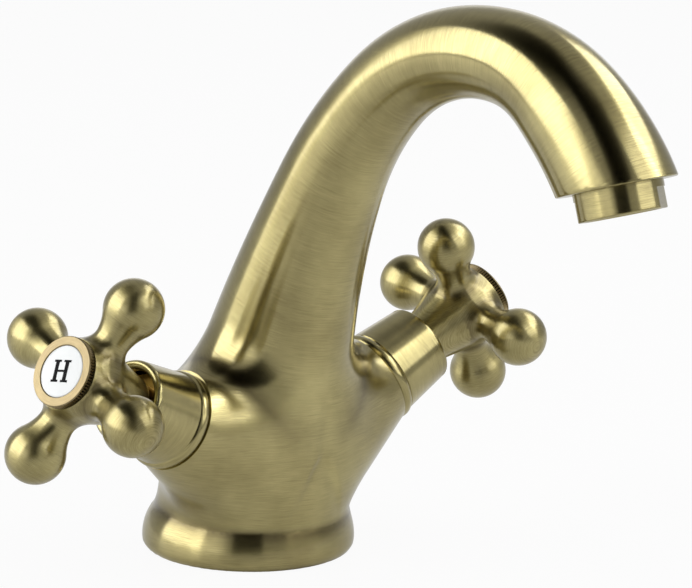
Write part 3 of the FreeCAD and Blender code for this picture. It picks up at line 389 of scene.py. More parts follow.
def lay_lines(piece, along, spoke, way):
    """The place and the direction of the brush lines at each corner, for the brass material."""
    for name, values in (("brush_place", np.column_stack([along, spoke])), ("brush_way", way)):
        layer = piece.data.attributes.new(name, "FLOAT_VECTOR", "POINT")
        layer.data.foreach_set("vector", np.asarray(values, np.float32).ravel())


def corners_of(piece):
    co = np.empty(len(piece.data.vertices) * 3, np.float32)
    piece.data.vertices.foreach_get("co", co)
    return co.reshape(-1, 3).astype(float) / MM


def sheet_of(points, quads):
    """A net made a mesh that can be cut."""
    mesh = bpy.data.meshes.new("net")
    mesh.from_pydata(points.tolist(), [], quads.tolist())
    sheet = bmesh.new()
    sheet.from_mesh(mesh)
    bpy.data.meshes.remove(mesh)
    return sheet


NET_STEP = 1.15
net_points, net_quads = net_over(casting_gap, (-56, -166, -5), (56, 36, 174), NET_STEP)
casting = sheet_of(settle(casting_gap, net_points, net_quads, 4), net_quads)

# The end face of the spout, with its edge broken, and the threaded socket of the aerator.
OUTLET = (0.0, -141.76, 127.53)
OUTLET_LEAN = math.radians(17.4)
STREAM = (0.0, -math.sin(OUTLET_LEAN), -math.cos(OUTLET_LEAN))
SOCKET_RADIUS, SOCKET_DEPTH, SOCKET_EDGE = 12.05, 6.6, 0.3
opening = cut_square(casting, Vector(OUTLET) - Vector(STREAM) * 0.35, STREAM, 28.0)
mouth = [(-0.1, -0.12), (-0.25, 0), (-0.3, 0), (SOCKET_RADIUS + SOCKET_EDGE, 0)]
mouth += [(SOCKET_RADIUS, -SOCKET_EDGE), (SOCKET_RADIUS, -SOCKET_DEPTH)]
close_rim(casting, opening, OUTLET, STREAM, mouth)

# The two branches end in a flat face and a threaded spigot for the shroud.
SPIGOT_RADIUS, SPIGOT_END, VALVE_BORE, VALVE_BORE_END = 11.9, -31.0, 10.53, -52.0
for side in SIDES:
    rows, hub = valve_frame(side)
    opening = cut_square(casting, hub + rows[2] * BOSS_FACE, rows[2], 20.0)
    spigot = [(SPIGOT_RADIUS, BOSS_FACE), (SPIGOT_RADIUS, SPIGOT_END)]
    spigot += [(VALVE_BORE, SPIGOT_END), (VALVE_BORE, VALVE_BORE_END)]
    close_rim(casting, opening, hub, rows[2], spigot)

# The underside: a land, the groove of the base seal, and the recess with its three threaded
# pillars, each given by its place, its outside radius, and its thread's radius and depth.
LAND_RADIUS, GROOVE_OUTSIDE, GROOVE_INSIDE, GROOVE_DEPTH = 29.3, 27.2, 23.2, 2.4
RECESS_RADIUS, RECESS_DEPTH = 21.5, 16.0
opening = cut_square(casting, (0, 0, 0), (0, 0, -1))
under = [(LAND_RADIUS, 0), (GROOVE_OUTSIDE, 0), (GROOVE_OUTSIDE, -GROOVE_DEPTH)]
under += [(GROOVE_INSIDE, -GROOVE_DEPTH), (GROOVE_INSIDE, 0)]
under += [(RECESS_RADIUS, 0), (RECESS_RADIUS, -RECESS_DEPTH)]
close_rim(casting, opening, (0, 0, 0), (0, 0, -1), under)
PILLARS = ((0.0, 12.5, 7.0, 4.0, 14.0), (-10.5, -5.0, 8.0, 5.0, 13.0), (10.5, -5.0, 8.0, 5.0, 13.0))
PILLAR_END, PILLAR_EDGE, THREAD_BOTTOM = 6.0, 0.4, 2.0
for x, y, outside, thread, depth in PILLARS:
    drilled, edge = PILLAR_END + depth, PILLAR_END + PILLAR_EDGE
    rows = [(0, drilled), (thread, drilled), (thread, edge), (thread + PILLAR_EDGE, PILLAR_END)]
    rows += [(outside - PILLAR_EDGE, PILLAR_END), (outside, edge)]
    rows += [(outside, drilled + THREAD_BOTTOM), (0, drilled + THREAD_BOTTOM)]
    corners, faces = turned_shell(rows, 48)
    add_shell(casting, corners + (x, y, 0), faces)

body = finished("tap_body_casting", casting)
body_corners = corners_of(body)
k, along, forward = on_line(body_corners)
_, body_normal = slope_of(casting_gap, body_corners)
body_normal /= np.maximum(np.linalg.norm(body_normal, axis=1), 1e-9)[:, None]
line_way = np.column_stack([0 * along, -np.sin(LINE_HEADING[k]), np.cos(LINE_HEADING[k])])
body_spoke = np.column_stack([body_corners[:, 0], forward]) * MM
lay_lines(body, along * MM, body_spoke, np.cross(line_way, body_normal))


def lay_patina_and_shade(piece, amount):
    """How dark each corner is painted, from 0 to 1: painted shade with patina, most in the hollows."""
    layer = piece.data.attributes.new("patina", "FLOAT", "POINT")
    layer.data.foreach_set("value", np.asarray(np.clip(amount, 0, 1), np.float32))


# Painted shade, with patina: the crease over the foot and the join where the branches' upper side meets the
# column are darkened.
CREASE_WIDTH, ROOT_WIDTH, ROOT_START, ROOT_FADE = 2.6, 7.0, 34, 14
column, foot = column_gap(body_corners), foot_gap(body_corners)
branch = np.minimum(boss_gap(body_corners, "hot"), boss_gap(body_corners, "cold"))
crease = np.clip(1 - np.abs(np.minimum(column, branch) - foot) / CREASE_WIDTH, 0, 1) ** 1.5
root = np.clip(1 - np.abs(column - branch) / ROOT_WIDTH, 0, 1) ** 2
root *= np.clip((body_corners[:, 2] - ROOT_START) / ROOT_FADE, 0, 1)
lay_patina_and_shade(body, 0.75 * crease + 0.6 * root)


def plain(hex_colour):
    """A hex colour as the linear numbers that a shader takes."""
    channels = [int(hex_colour[i : i + 2], 16) / 255 for i in (1, 3, 5)]
    return tuple(c / 12.92 if c <= 0.04045 else ((c + 0.055) / 1.055) ** 2.4 for c in channels) + (1.0,)


def new_finish(name):
    """An empty material, its nodes and its shader."""
    finish = bpy.data.materials.new(name)
    finish.use_nodes = True
    return finish, finish.node_tree, finish.node_tree.nodes["Principled BSDF"]


def fill(tree, node, sockets):
    """Give each socket of a node its value, or link it to the output given for it."""
    for socket, value in sockets.items():
        if isinstance(value, bpy.types.NodeSocket):
            tree.links.new(value, node.inputs[socket])
        else:
            node.inputs[socket].default_value = value


def add_node(tree, kind, sockets, **settings):
    """Add a node with its settings, values and links, and return its outputs."""
    node = tree.nodes.new(kind)
    for name, value in settings.items():
        setattr(node, name, value)
    fill(tree, node, sockets)
    return node.outputs


# Brass brushed with an abrasive belt and lacquered. To the eye its lines smear a reflection out
# across them, with a soft gloss over it. The real lines are finer than 0.1 mm, too fine to show, so
# they are drawn 0.1 mm apart or more.
LINE_SWAY, LINE_RISE = 1.2 * MM, 0.02 * MM
SWAY_SCALE, CLOUD_SCALE = 55.0, 38.0
QUARTER_TURN = 0.25


def brushed_brass(name, light, dark, line, run, depth, rough, across):
    """Antique brass, brushed and lacquered: lines that run round the piece, the patina left dark
    between them, painted shade with patina in the hollows, and a slightly uneven polish."""
    finish, tree, shader = new_finish(name)
    spot = add_node(tree, "ShaderNodeTexCoord", {})["Object"]
    place = add_node(tree, "ShaderNodeAttribute", {}, attribute_name="brush_place")["Vector"]
    way = add_node(tree, "ShaderNodeAttribute", {}, attribute_name="brush_way")["Vector"]
    patina = add_node(tree, "ShaderNodeAttribute", {}, attribute_name="patina")["Fac"]
    sway = {"Vector": spot, "Scale": SWAY_SCALE, "Detail": 2.0}
    sway = {0: add_node(tree, "ShaderNodeTexNoise", sway)["Color"], 1: (LINE_SWAY,) * 3, 2: place}
    wavy = add_node(tree, "ShaderNodeVectorMath", sway, operation="MULTIPLY_ADD")[0]
    pitch = {0: wavy, 1: (1 / (line * MM), 1 / (run * MM), 1 / (run * MM))}
    drawn = add_node(tree, "ShaderNodeVectorMath", pitch, operation="MULTIPLY")[0]
    lines = {"Vector": drawn, "Scale": 1.0, "Detail": 3.0, "Roughness": 0.65}
    lines = add_node(tree, "ShaderNodeTexNoise", lines)["Fac"]
    clouds = {"Vector": spot, "Scale": CLOUD_SCALE, "Detail": 4.0, "Roughness": 0.6}
    clouds = add_node(tree, "ShaderNodeTexNoise", clouds)["Fac"]
    shade = add_node(tree, "ShaderNodeMath", {0: lines, 1: clouds}, operation="ADD")[0]
    shade = {"Value": shade, "From Min": 0.62, "From Max": 1.25}
    shade = add_node(tree, "ShaderNodeMapRange", shade)[0]
    shade = {"Factor": shade, 6: plain(dark), 7: plain(light)}
    tint = add_node(tree, "ShaderNodeMix", shade, data_type="RGBA")[2]
    # The hollows are darkened towards a dark brown: painted shade, with patina.
    shaded_and_aged = {"Factor": patina, 6: tint, 7: plain("#3E2F14")}
    shaded_and_aged = add_node(tree, "ShaderNodeMix", shaded_and_aged, data_type="RGBA")[2]
    polish = {"Value": lines, "From Min": 0.3, "From Max": 0.7}
    polish.update({"To Min": rough + 0.05, "To Max": rough - 0.03})
    polish = add_node(tree, "ShaderNodeMapRange", polish)[0]
    bump = add_node(tree, "ShaderNodeBump", {"Height": lines, "Strength": depth, "Distance": LINE_RISE})[0]
    spaces = {"vector_type": "VECTOR", "convert_from": "OBJECT", "convert_to": "WORLD"}
    way = add_node(tree, "ShaderNodeVectorTransform", {0: way}, **spaces)[0]
    fill(tree, shader, {"Base Color": shaded_and_aged, "Roughness": polish, "Normal": bump, "Tangent": way})
    fill(tree, shader, {"Metallic": 1.0, "Anisotropic": across, "Anisotropic Rotation": QUARTER_TURN})
    fill(tree, shader, {"Coat Weight": 0.5, "Coat Roughness": 0.16})
    return finish


brushing = {"line": 0.1, "run": 7.0, "depth": 0.1, "rough": 0.21, "across": 0.8}
body_brass = brushed_brass("brushed antique brass, lacquered", "#B6AB76", "#82764A", **brushing)
body.data.materials.append(body_brass)
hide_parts("body_casting")
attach(body, "tap_body")

# ----------------------------
# Plain finishes of the pieces inside, which keep their CAD shape: turned brass, rubber, white
# plastic, ceramic and spring steel.
# ----------------------------
GRAIN_RISE = 0.02 * MM


def inner_finish(name, colour, metallic, roughness, scale, wear=0.12, gloss=0.5):
    """A finish of one colour, with its grain in the colour and the surface."""
    finish, tree, shader = new_finish(name)
    spot = add_node(tree, "ShaderNodeTexCoord", {})["Object"]
    grain = add_node(tree, "ShaderNodeTexNoise", {"Vector": spot, "Scale": scale, "Detail": 3.0})["Fac"]
    shade = {"Value": grain, "To Min": 1 - wear, "To Max": 1 + wear}
    shade = add_node(tree, "ShaderNodeMapRange", shade)[0]
    tint = {0: plain(colour)[:3], 1: shade}
    tint = add_node(tree, "ShaderNodeVectorMath", tint, operation="MULTIPLY")[0]
    bump = add_node(tree, "ShaderNodeBump", {"Height": grain, "Strength": 0.2, "Distance": GRAIN_RISE})[0]
    fill(tree, shader, {"Base Color": tint, "Normal": bump, "Metallic": metallic, "Roughness": roughness})
    fill(tree, shader, {"Specular IOR Level": gloss})
    return finish


# Bare turned brass is yellower than the skin, with a bright lathe sheen. Moulded rubber is a dull
# near-black with a faint bloom. Plastic is even, with a soft shine. Lapped ceramic is off-white and
# almost a mirror. Spring steel is a cool grey strip with a satin shine.
turned_brass = inner_finish("turned brass, bare", "#B89A55", 1.0, 0.28, 900)
seal_rubber = inner_finish("moulded black rubber", "#1B1B1C", 0.0, 0.55, 1500)
white_plastic = inner_finish("moulded white plastic", "#E4E3DE", 0.0, 0.35, 1200, wear=0.03)
disc_ceramic = inner_finish("lapped ceramic", "#D9D6CD", 0.0, 0.12, 700, wear=0.03)
spring_steel = inner_finish("spring steel strip", "#8F9094", 1.0, 0.3, 1100)
FINISH_OF = {
    seal_rubber: ("base_seal", "aerator_washer", "valve_gasket", "seat_seal", "spindle_o_ring"),
    white_plastic: ("aerator_screen", "aerator_insert"),
    turned_brass: ("valve_body", "spindle"),
    disc_ceramic: ("fixed_disc", "moving_disc"),
    spring_steel: ("circlip", "handle_screw"),
}
for node_name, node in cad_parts.items():
    kind = node_name.split("_", 1)[1] if node_name.split("_")[0] in SIDES else node_name
    for finish, kinds in FINISH_OF.items():
        if kind in kinds:
            node.data.materials.clear()
            node.data.materials.append(finish)

# ----------------------------
# Aerator shell. A turned brass sleeve screwed into the spout's end, with two flats for the spanner
# and its rim rolled in over the plastic jet insert.
# ----------------------------
def arc_rows(start, end, bend, count=8):
    """Rows on an arc between two (radius, height) points, swollen away from the metal."""
    start, end = np.array(start, float), np.array(end, float)
    chord = end - start
    length = np.linalg.norm(chord)
    normal = np.array([chord[1], -chord[0]]) / length
    centre = (start + end) / 2 - normal * math.sqrt(max(bend**2 - length**2 / 4, 0))
    a = math.atan2(*(start - centre)[::-1])
    b = math.atan2(*(end - centre)[::-1])
    if b - a > math.pi:
        b -= 2 * math.pi
    if a - b > math.pi:
        b += 2 * math.pi
    return [tuple(centre + bend * np.array([math.cos(t), math.sin(t)])) for t in np.linspace(a, b, count)]


def placed(corners, rows, origin):
    """Own corners set into a frame given by its three rows and its origin."""
    return corners @ rows + origin


def turned_piece(name, outline, rows, origin, turns=128, shape=None):
    """A turned piece about a frame's third row, with brush lines round it."""
    corners, faces = turned_shell(outline, turns)
    if shape:
        corners = shape(corners)
    sheet = bmesh.new()
    add_shell(sheet, placed(corners, rows, origin), faces)
    piece = finished(name, sheet)
    own = (corners_of(piece) - origin) @ rows.T
    reach = np.hypot(own[:, 0], own[:, 1])
    round_way = np.column_stack([-own[:, 1], own[:, 0], 0 * reach]) / np.maximum(reach, 1e-6)[:, None]
    lay_lines(piece, (own[:, 2] + 0.7 * reach) * MM, own[:, :2] * MM, round_way @ rows)
    return piece


AERATOR_SPIN = math.radians(30.0)
SHELL_RADIUS, SHELL_DROP, SHELL_EDGE, SHELL_THREAD = 12.0, 7.54, 0.4, 5.0
FLAT_HALF, FLAT_TOP, LIP_MOUTH, LIP_DEPTH, LIP_EDGE, SHELL_BORE = 11.0, 1.94, 10.1, 1.6, 0.3, 10.8
stream = np.array(STREAM)
flat_way = np.array([math.sin(AERATOR_SPIN), -math.cos(AERATOR_SPIN), 0])
flat_way -= stream * (flat_way @ stream)
flat_way /= np.linalg.norm(flat_way)
aerator_rows = np.array([flat_way, np.cross(stream, flat_way), stream])
edge_start, edge_end = (SHELL_RADIUS, SHELL_DROP - SHELL_EDGE), (SHELL_RADIUS - SHELL_EDGE, SHELL_DROP)
sleeve = [(SHELL_BORE, -SHELL_THREAD), (SHELL_RADIUS, -SHELL_THREAD), (SHELL_RADIUS, 0.2)]
sleeve += [(SHELL_RADIUS, FLAT_TOP), (SHELL_RADIUS, FLAT_TOP + 0.001)]
sleeve += [(SHELL_RADIUS, edge_start[1] - 0.3)]
sleeve += arc_rows(edge_start, edge_end, SHELL_EDGE, 4)
sleeve += [(LIP_MOUTH + LIP_EDGE, SHELL_DROP), (LIP_MOUTH, SHELL_DROP - LIP_EDGE)]
sleeve += [(LIP_MOUTH, SHELL_DROP - LIP_DEPTH), (SHELL_BORE, SHELL_DROP - LIP_DEPTH)]


def with_flats(corners):
    """Cut the two spanner flats, below the round part."""
    low = corners[:, 2] > FLAT_TOP + 0.0005
    corners[low, 0] = np.clip(corners[low, 0], -FLAT_HALF, FLAT_HALF)
    return corners


aerator = turned_piece("aerator_sleeve", sleeve[::-1], aerator_rows, OUTLET, 160, with_flats)
aerator.data.materials.append(body_brass)
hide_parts("aerator_shell")
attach(aerator, "tap_body")

# ----------------------------
# Trim ring and shroud. A half-round brass bead is clamped between the branch and the tapered shroud,
# which screws on to the spigot and hides the headwork. Both are turned and brushed round.
# ----------------------------
BEAD_BORE, BEAD_EDGE, BEAD_WIDTH, BEAD_BEND = 11.95, 13.4, 3.6, 2.15
SHROUD_REAR, SHROUD_FRONT, SHROUD_LENGTH, SHROUD_MOUTH, SHROUD_LAND = 13.6, 12.1, 16.9, 9.5, 10.6
SHROUD_RIM, SHROUD_LIP, SHROUD_BORE, SHROUD_EDGE = 1.25, 2.6, 11.5, 0.25
THREAD_FRONT, THREAD_START, THREAD_END = -23.8, -24.35, -30.8
bead_end = BOSS_FACE + BEAD_WIDTH
shroud_end = bead_end + SHROUD_LENGTH
rim_start = shroud_end - SHROUD_RIM
half_round = [(BEAD_BORE, BOSS_FACE)]
half_round += arc_rows((BEAD_EDGE, BOSS_FACE), (BEAD_EDGE, bead_end), BEAD_BEND, 16)
half_round += [(BEAD_BORE, bead_end)]
cover = [(BEAD_BORE, bead_end), (SHROUD_REAR - SHROUD_EDGE, bead_end)]
cover += [(SHROUD_REAR, bead_end + SHROUD_EDGE)]
for share in (0.05, 0.35, 0.65, 0.95):
    taper = SHROUD_REAR + (SHROUD_FRONT - SHROUD_REAR) * share
    cover.append((taper, bead_end + (rim_start - bead_end) * share))
cover += arc_rows((SHROUD_FRONT, rim_start), (SHROUD_FRONT - SHROUD_RIM, shroud_end), SHROUD_RIM)
cover += arc_rows((SHROUD_MOUTH + SHROUD_RIM, shroud_end), (SHROUD_MOUTH, rim_start), SHROUD_RIM)
cover += [(SHROUD_MOUTH, shroud_end - SHROUD_LIP), (SHROUD_LAND, shroud_end - SHROUD_LIP)]
cover += [(SHROUD_LAND, THREAD_FRONT), (SHROUD_BORE, THREAD_START), (SHROUD_BORE, THREAD_END)]
cover += [(BEAD_BORE, THREAD_END)]
for side in SIDES:
    rows, hub = valve_frame(side)
    bead = turned_piece(side + "_trim_bead", half_round, rows, hub)
    shroud = turned_piece(side + "_shroud_cover", cover, rows, hub)
    for piece, node_name in ((bead, "_trim_ring"), (shroud, "_shroud")):
        piece.data.materials.append(body_brass)
        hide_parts(side + node_name)
        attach(piece, "tap_body")

# ----------------------------
# Cross handle. One casting: a flared skirt that runs into a domed hub, and four arms that swell
# from a slim neck to a ball. It is brushed by hand round the arms, a little rougher than the body.
# ----------------------------
SKIRT_REAR, SKIRT_RADIUS, SKIRT_BORE, SKIRT_EDGE = -19.4, 7.4, 5.8, 0.3
HUB_FRONT, HUB_EDGE, RING_BORE, RING_DEPTH = 7.6, 9.9, 8.05, 2.4
BALL, BALL_REACH, NECK, NECK_REACH = 8.56, 24.26, 5.15, 12.5
HOLLOW = ((BALL_REACH - NECK_REACH) ** 2 + NECK**2 - BALL**2) / (2 * (BALL - NECK))
TOUCH = BALL_REACH - BALL / (HOLLOW + BALL) * (BALL_REACH - NECK_REACH)
ARM_START, ARM_ROOT = 3.0, 3.4
HANDLE_SPIN = {"hot": 68.8, "cold": 11.3}
HUB_HEIGHTS = np.array([-24.0, SKIRT_REAR + 0.6, -12.0, -7.3, -1.5, 0.8, 3.2, 5.4, HUB_FRONT, 12.0])
HUB_RADII = np.array([6.1, SKIRT_RADIUS, 8.95, 10.2, 11.62, 11.72, 11.5, 11.0, 10.25, 8.3])


def arm_gap(points):
    """Gap to one arm whose own axis is X."""
    reach, away = points[:, 0], np.hypot(points[:, 1], points[:, 2])
    ball = np.hypot(reach - BALL_REACH, away) - BALL
    bent = np.clip(reach - NECK_REACH, 0, TOUCH - NECK_REACH)
    radius = NECK + HOLLOW - np.sqrt(HOLLOW**2 - bent**2)
    stem = (away - radius) * np.sqrt(1 - (bent / HOLLOW) ** 2)
    return np.where(reach > TOUCH, ball, np.maximum(stem, ARM_START - reach))


def handle_gap(points):
    """Gap to the hub and its four arms, about its own third axis."""
    hub = np.hypot(points[:, 0], points[:, 1]) - np.interp(points[:, 2], HUB_HEIGHTS, HUB_RADII)
    arms = np.full(len(points), np.inf)
    for c, s in ((1, 0), (0, 1), (-1, 0), (0, -1)):
        arms = np.minimum(arms, arm_gap(points @ np.array([[c, s, 0], [-s, c, 0], [0, 0, 1.0]])))
    return np.maximum(melt(hub * 0.975, arms, ARM_ROOT), np.abs(points[:, 2] + 5.5) - 18)


# The handles were brushed by hand, in shorter lines, so a reflection in them is broader and softer.
brushing = {"line": 0.12, "run": 4.0, "depth": 0.12, "rough": 0.3, "across": 0.75}
handle_brass = brushed_brass("brushed antique brass, handle", "#B6AB76", "#82764A", **brushing)
HANDLE_STEP = 0.62
THROAT, THROAT_WIDTH = 10.5, 3.2
handle_points, handle_quads = net_over(handle_gap, (-35, -35, -25), (35, 35, 14), HANDLE_STEP)
handle_points = settle(handle_gap, handle_points, handle_quads, 4)
for side in SIDES:
    sheet = sheet_of(handle_points, handle_quads)
    opening = cut_square(sheet, (0, 0, HUB_FRONT), (0, 0, 1), 13.0)
    front = [(HUB_EDGE, HUB_FRONT), (RING_BORE, HUB_FRONT), (RING_BORE, RING_DEPTH)]
    close_rim(sheet, opening, (0, 0, 0), (0, 0, 1), front)
    opening = cut_square(sheet, (0, 0, SKIRT_REAR + 0.4), (0, 0, -1))
    rear = [(-0.12, -SKIRT_REAR - 0.12), (-0.28, -SKIRT_REAR), (SKIRT_BORE + SKIRT_EDGE, -SKIRT_REAR)]
    rear += [(SKIRT_BORE, -SKIRT_REAR - SKIRT_EDGE), (SKIRT_BORE, 14.0)]
    close_rim(sheet, opening, (0, 0, 0), (0, 0, -1), rear)
    rows, hub = valve_frame(side, HANDLE_SPIN[side])
    for vert in sheet.verts:
        vert.co = Vector(placed(np.array(vert.co), rows, hub))
    handle = finished(side + "_handle_casting", sheet)
    own = (corners_of(handle) - hub) @ rows.T
    x, y, z = own.T
    on_x = np.abs(x) > np.abs(y)
    along = np.where(on_x, np.abs(x), np.abs(y))
    spoke = np.column_stack([np.where(on_x, y, x), z])
    arm_way = np.where(on_x[:, None], np.column_stack([0 * x, -z, y]), np.column_stack([z, 0 * x, -x]))
    arm_way /= np.maximum(np.linalg.norm(arm_way, axis=1), 1e-6)[:, None]
    lay_lines(handle, along * MM, spoke * MM, arm_way @ rows)
    # The arms are darkened where they run into the hub: painted shade in the crease, with patina.
    throat = np.clip(1 - np.abs(along - THROAT) / THROAT_WIDTH, 0, 1) * (np.abs(z) < 7)
    lay_patina_and_shade(handle, 0.55 * throat**1.5)
    handle.data.materials.append(handle_brass)
    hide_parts(side + "_cross_handle")
    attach(handle, side + "_handle")

# ----------------------------
# Index ring. A turned brass ring screwed into the hub: a knurled rim to grip it by, a smooth edge in
# front of it, and a flat front that holds the button. The root between the knurls is painted black:
# painted shade, with patina.
# ----------------------------
KNURL_TEETH, KNURL_ROOT, KNURL_REAR, KNURL_FRONT = 72, 9.55, 7.8, 9.45
TOOTH_REACH, TOOTH_CIRCLE = 0.36, 9.84
RIM_RADIUS, RING_FRONT, RING_EDGE, RING_WINDOW = 10.08, 9.94, 0.2, 7.45
RING_REAR, RING_THREAD, RING_INSIDE, RING_SHELF = 3.6, 7.95, 6.6, 2.4


def knurl_tree(material):
    """Knurl teeth: a three-sided bar stood on every point of a circle, edge outwards."""
    tree = bpy.data.node_groups.new("knurl", "GeometryNodeTree")
    tree.interface.new_socket("Teeth", in_out="INPUT", socket_type="NodeSocketInt")
    for name in ("Circle", "Tooth", "Height"):
        tree.interface.new_socket(name, in_out="INPUT", socket_type="NodeSocketFloat")
    tree.interface.new_socket("Geometry", in_out="OUTPUT", socket_type="NodeSocketGeometry")
    sizes = add_node(tree, "NodeGroupInput", {})
    circle = {"Vertices": sizes["Teeth"], "Radius": sizes["Circle"]}
    circle = add_node(tree, "GeometryNodeMeshCircle", circle)[0]
    tooth = {"Vertices": 3, "Radius": sizes["Tooth"], "Depth": sizes["Height"]}
    tooth = add_node(tree, "GeometryNodeMeshCylinder", tooth)["Mesh"]
    place = add_node(tree, "GeometryNodeInputPosition", {})[0]
    turn = {"Vector": place}
    turn = add_node(tree, "FunctionNodeAlignRotationToVector", turn, axis="X", pivot_axis="Z")[0]
    teeth = {"Points": circle, "Instance": tooth, "Rotation": turn}
    teeth = add_node(tree, "GeometryNodeInstanceOnPoints", teeth)[0]
    real = add_node(tree, "GeometryNodeRealizeInstances", {"Geometry": teeth})[0]
    coated = add_node(tree, "GeometryNodeSetMaterial", {"Geometry": real, "Material": material})[0]
    add_node(tree, "NodeGroupOutput", {"Geometry": coated})
    return tree


def grown(name, tree, **sizes):
    """The mesh that a tree makes from its named sizes."""
    stand = in_scene(name, bpy.data.meshes.new(name))
    grower = stand.modifiers.new("grow", "NODES")
    grower.node_group = tree
    for socket in tree.interface.items_tree:
        if socket.in_out == "INPUT":
            grower[socket.identifier] = sizes[socket.name]
    evaluated = stand.evaluated_get(bpy.context.evaluated_depsgraph_get())
    mesh = bpy.data.meshes.new_from_object(evaluated)
    bpy.data.objects.remove(stand)
    return mesh


# The ring is rubbed to a browner, duller brass than the body. The black between its knurls is
# painted shade, with patina, and is what makes them show.
brushing = {"line": 0.1, "run": 4.0, "depth": 0.15, "rough": 0.42, "across": 0.3}
knurl_brass = brushed_brass("brushed antique brass, ring", "#9B8A63", "#776846", **brushing)
knurl_gap_shade = inner_finish("patina between the knurls", "#15120C", 1.0, 0.6, 900)
knurl = knurl_tree(knurl_brass)
collar = [(RING_INSIDE, RING_REAR), (RING_THREAD, RING_REAR), (RING_THREAD, HUB_FRONT)]
collar += [(KNURL_ROOT, HUB_FRONT), (KNURL_ROOT, KNURL_FRONT), (RIM_RADIUS - 0.05, KNURL_FRONT)]
collar += [(RIM_RADIUS, KNURL_FRONT + 0.05), (RIM_RADIUS, RING_FRONT - RING_EDGE)]
collar += [(RIM_RADIUS - RING_EDGE, RING_FRONT), (8.6, RING_FRONT)]
collar += [(RING_WINDOW + RING_EDGE, RING_FRONT), (RING_WINDOW, RING_FRONT - RING_EDGE)]
collar += [(RING_WINDOW, RING_FRONT - RING_SHELF), (RING_INSIDE, RING_FRONT - RING_SHELF)]
for side in SIDES:
    rows, hub = valve_frame(side, HANDLE_SPIN[side])
    ring = turned_piece(side + "_index_collar", collar, rows, hub, 144)
    height = KNURL_FRONT - KNURL_REAR
    sizes = {"Teeth": KNURL_TEETH, "Circle": TOOTH_CIRCLE, "Tooth": TOOTH_REACH, "Height": height}
    teeth_mesh = grown("teeth", knurl, **sizes)
    teeth = np.array([v.co for v in teeth_mesh.vertices], float)
    teeth = placed(teeth + (0, 0, KNURL_REAR + height / 2), rows, hub) * MM
    teeth_mesh.vertices.foreach_set("co", teeth.astype(np.float32).ravel())
    rim = in_scene(side + "_index_knurl", teeth_mesh)
    own = (teeth / MM - hub) @ rows.T
    lay_lines(rim, own[:, 2] * MM, own[:, :2] * MM, np.tile(rows[2], (len(own), 1)))
    ring.data.materials.append(knurl_brass)
    ring.data.materials.append(knurl_gap_shade)
    # The faces at the root between the knurls take the painted shade.
    for face in ring.data.polygons:
        at = (np.array(face.center) / MM - hub) @ rows.T
        between = RING_THREAD + 0.25 < math.hypot(at[0], at[1]) < KNURL_ROOT + 0.02
        face.material_index = int(between and HUB_FRONT - 0.01 < at[2] < KNURL_FRONT - 0.1)
    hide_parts(side + "_index_ring")
    for piece in (ring, rim):
        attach(piece, side + "_handle")

# ----------------------------
# Index button. A glazed white porcelain disc, slightly domed, pressed into the ring. The letter is
# black enamel fired on: H for hot, C for cold.
# ----------------------------
BUTTON_RADIUS, BUTTON_REAR, BUTTON_EDGE, BUTTON_DOME = 7.4, 7.54, 9.79, 0.35
LETTER_HEIGHT, STROKE, HAIR, SERIF = 6.3, 1.3, 0.62, 2.45
LETTER_RISE, LETTER_ROOT, LETTER_TURN = 0.09, 0.05, 8.0
button_bend = (BUTTON_RADIUS**2 + BUTTON_DOME**2) / (2 * BUTTON_DOME)


def dome_height(reach):
    """How far out the button's face is, at a distance from its middle."""
    return BUTTON_EDGE + math.sqrt(button_bend**2 - reach**2) - math.sqrt(button_bend**2 - BUTTON_RADIUS**2)


disc = [(0, BUTTON_REAR), (BUTTON_RADIUS, BUTTON_REAR), (BUTTON_RADIUS, BUTTON_EDGE - 0.2)]
disc += [(BUTTON_RADIUS - 0.06, BUTTON_EDGE - 0.06)]
for share in (0.975, 0.9, 0.75, 0.6, 0.45, 0.3, 0.15, 0):
    disc.append((BUTTON_RADIUS * share, dome_height(BUTTON_RADIUS * share)))

# Glazed porcelain: a clean, slightly cool white under a glassy coat, with a faint unevenness. The
# enamel is a flat black that takes no bright reflection.
porcelain, tree, shader = new_finish("glazed white porcelain")
spot = add_node(tree, "ShaderNodeTexCoord", {})["Object"]
glaze = add_node(tree, "ShaderNodeTexNoise", {"Vector": spot, "Scale": 260.0, "Detail": 2.0})["Fac"]
glaze_tint = {"Factor": glaze, 6: plain("#D9DCDC"), 7: plain("#E2E4E3")}
glaze_tint = add_node(tree, "ShaderNodeMix", glaze_tint, data_type="RGBA")[2]
glaze_bump = add_node(tree, "ShaderNodeBump", {"Height": glaze, "Strength": 0.1, "Distance": 0.1 * MM})[0]
fill(tree, shader, {"Base Color": glaze_tint, "Normal": glaze_bump, "Roughness": 0.12})
fill(tree, shader, {"Coat Weight": 0.4, "Coat Roughness": 0.04})
enamel = inner_finish("black enamel, fired", "#0A0B0C", 0.0, 0.6, 800, gloss=0.1)


def bar(left, right, low, high):
    """The corners of an upright stroke."""
    return [(left, low), (right, low), (right, high), (left, high)]


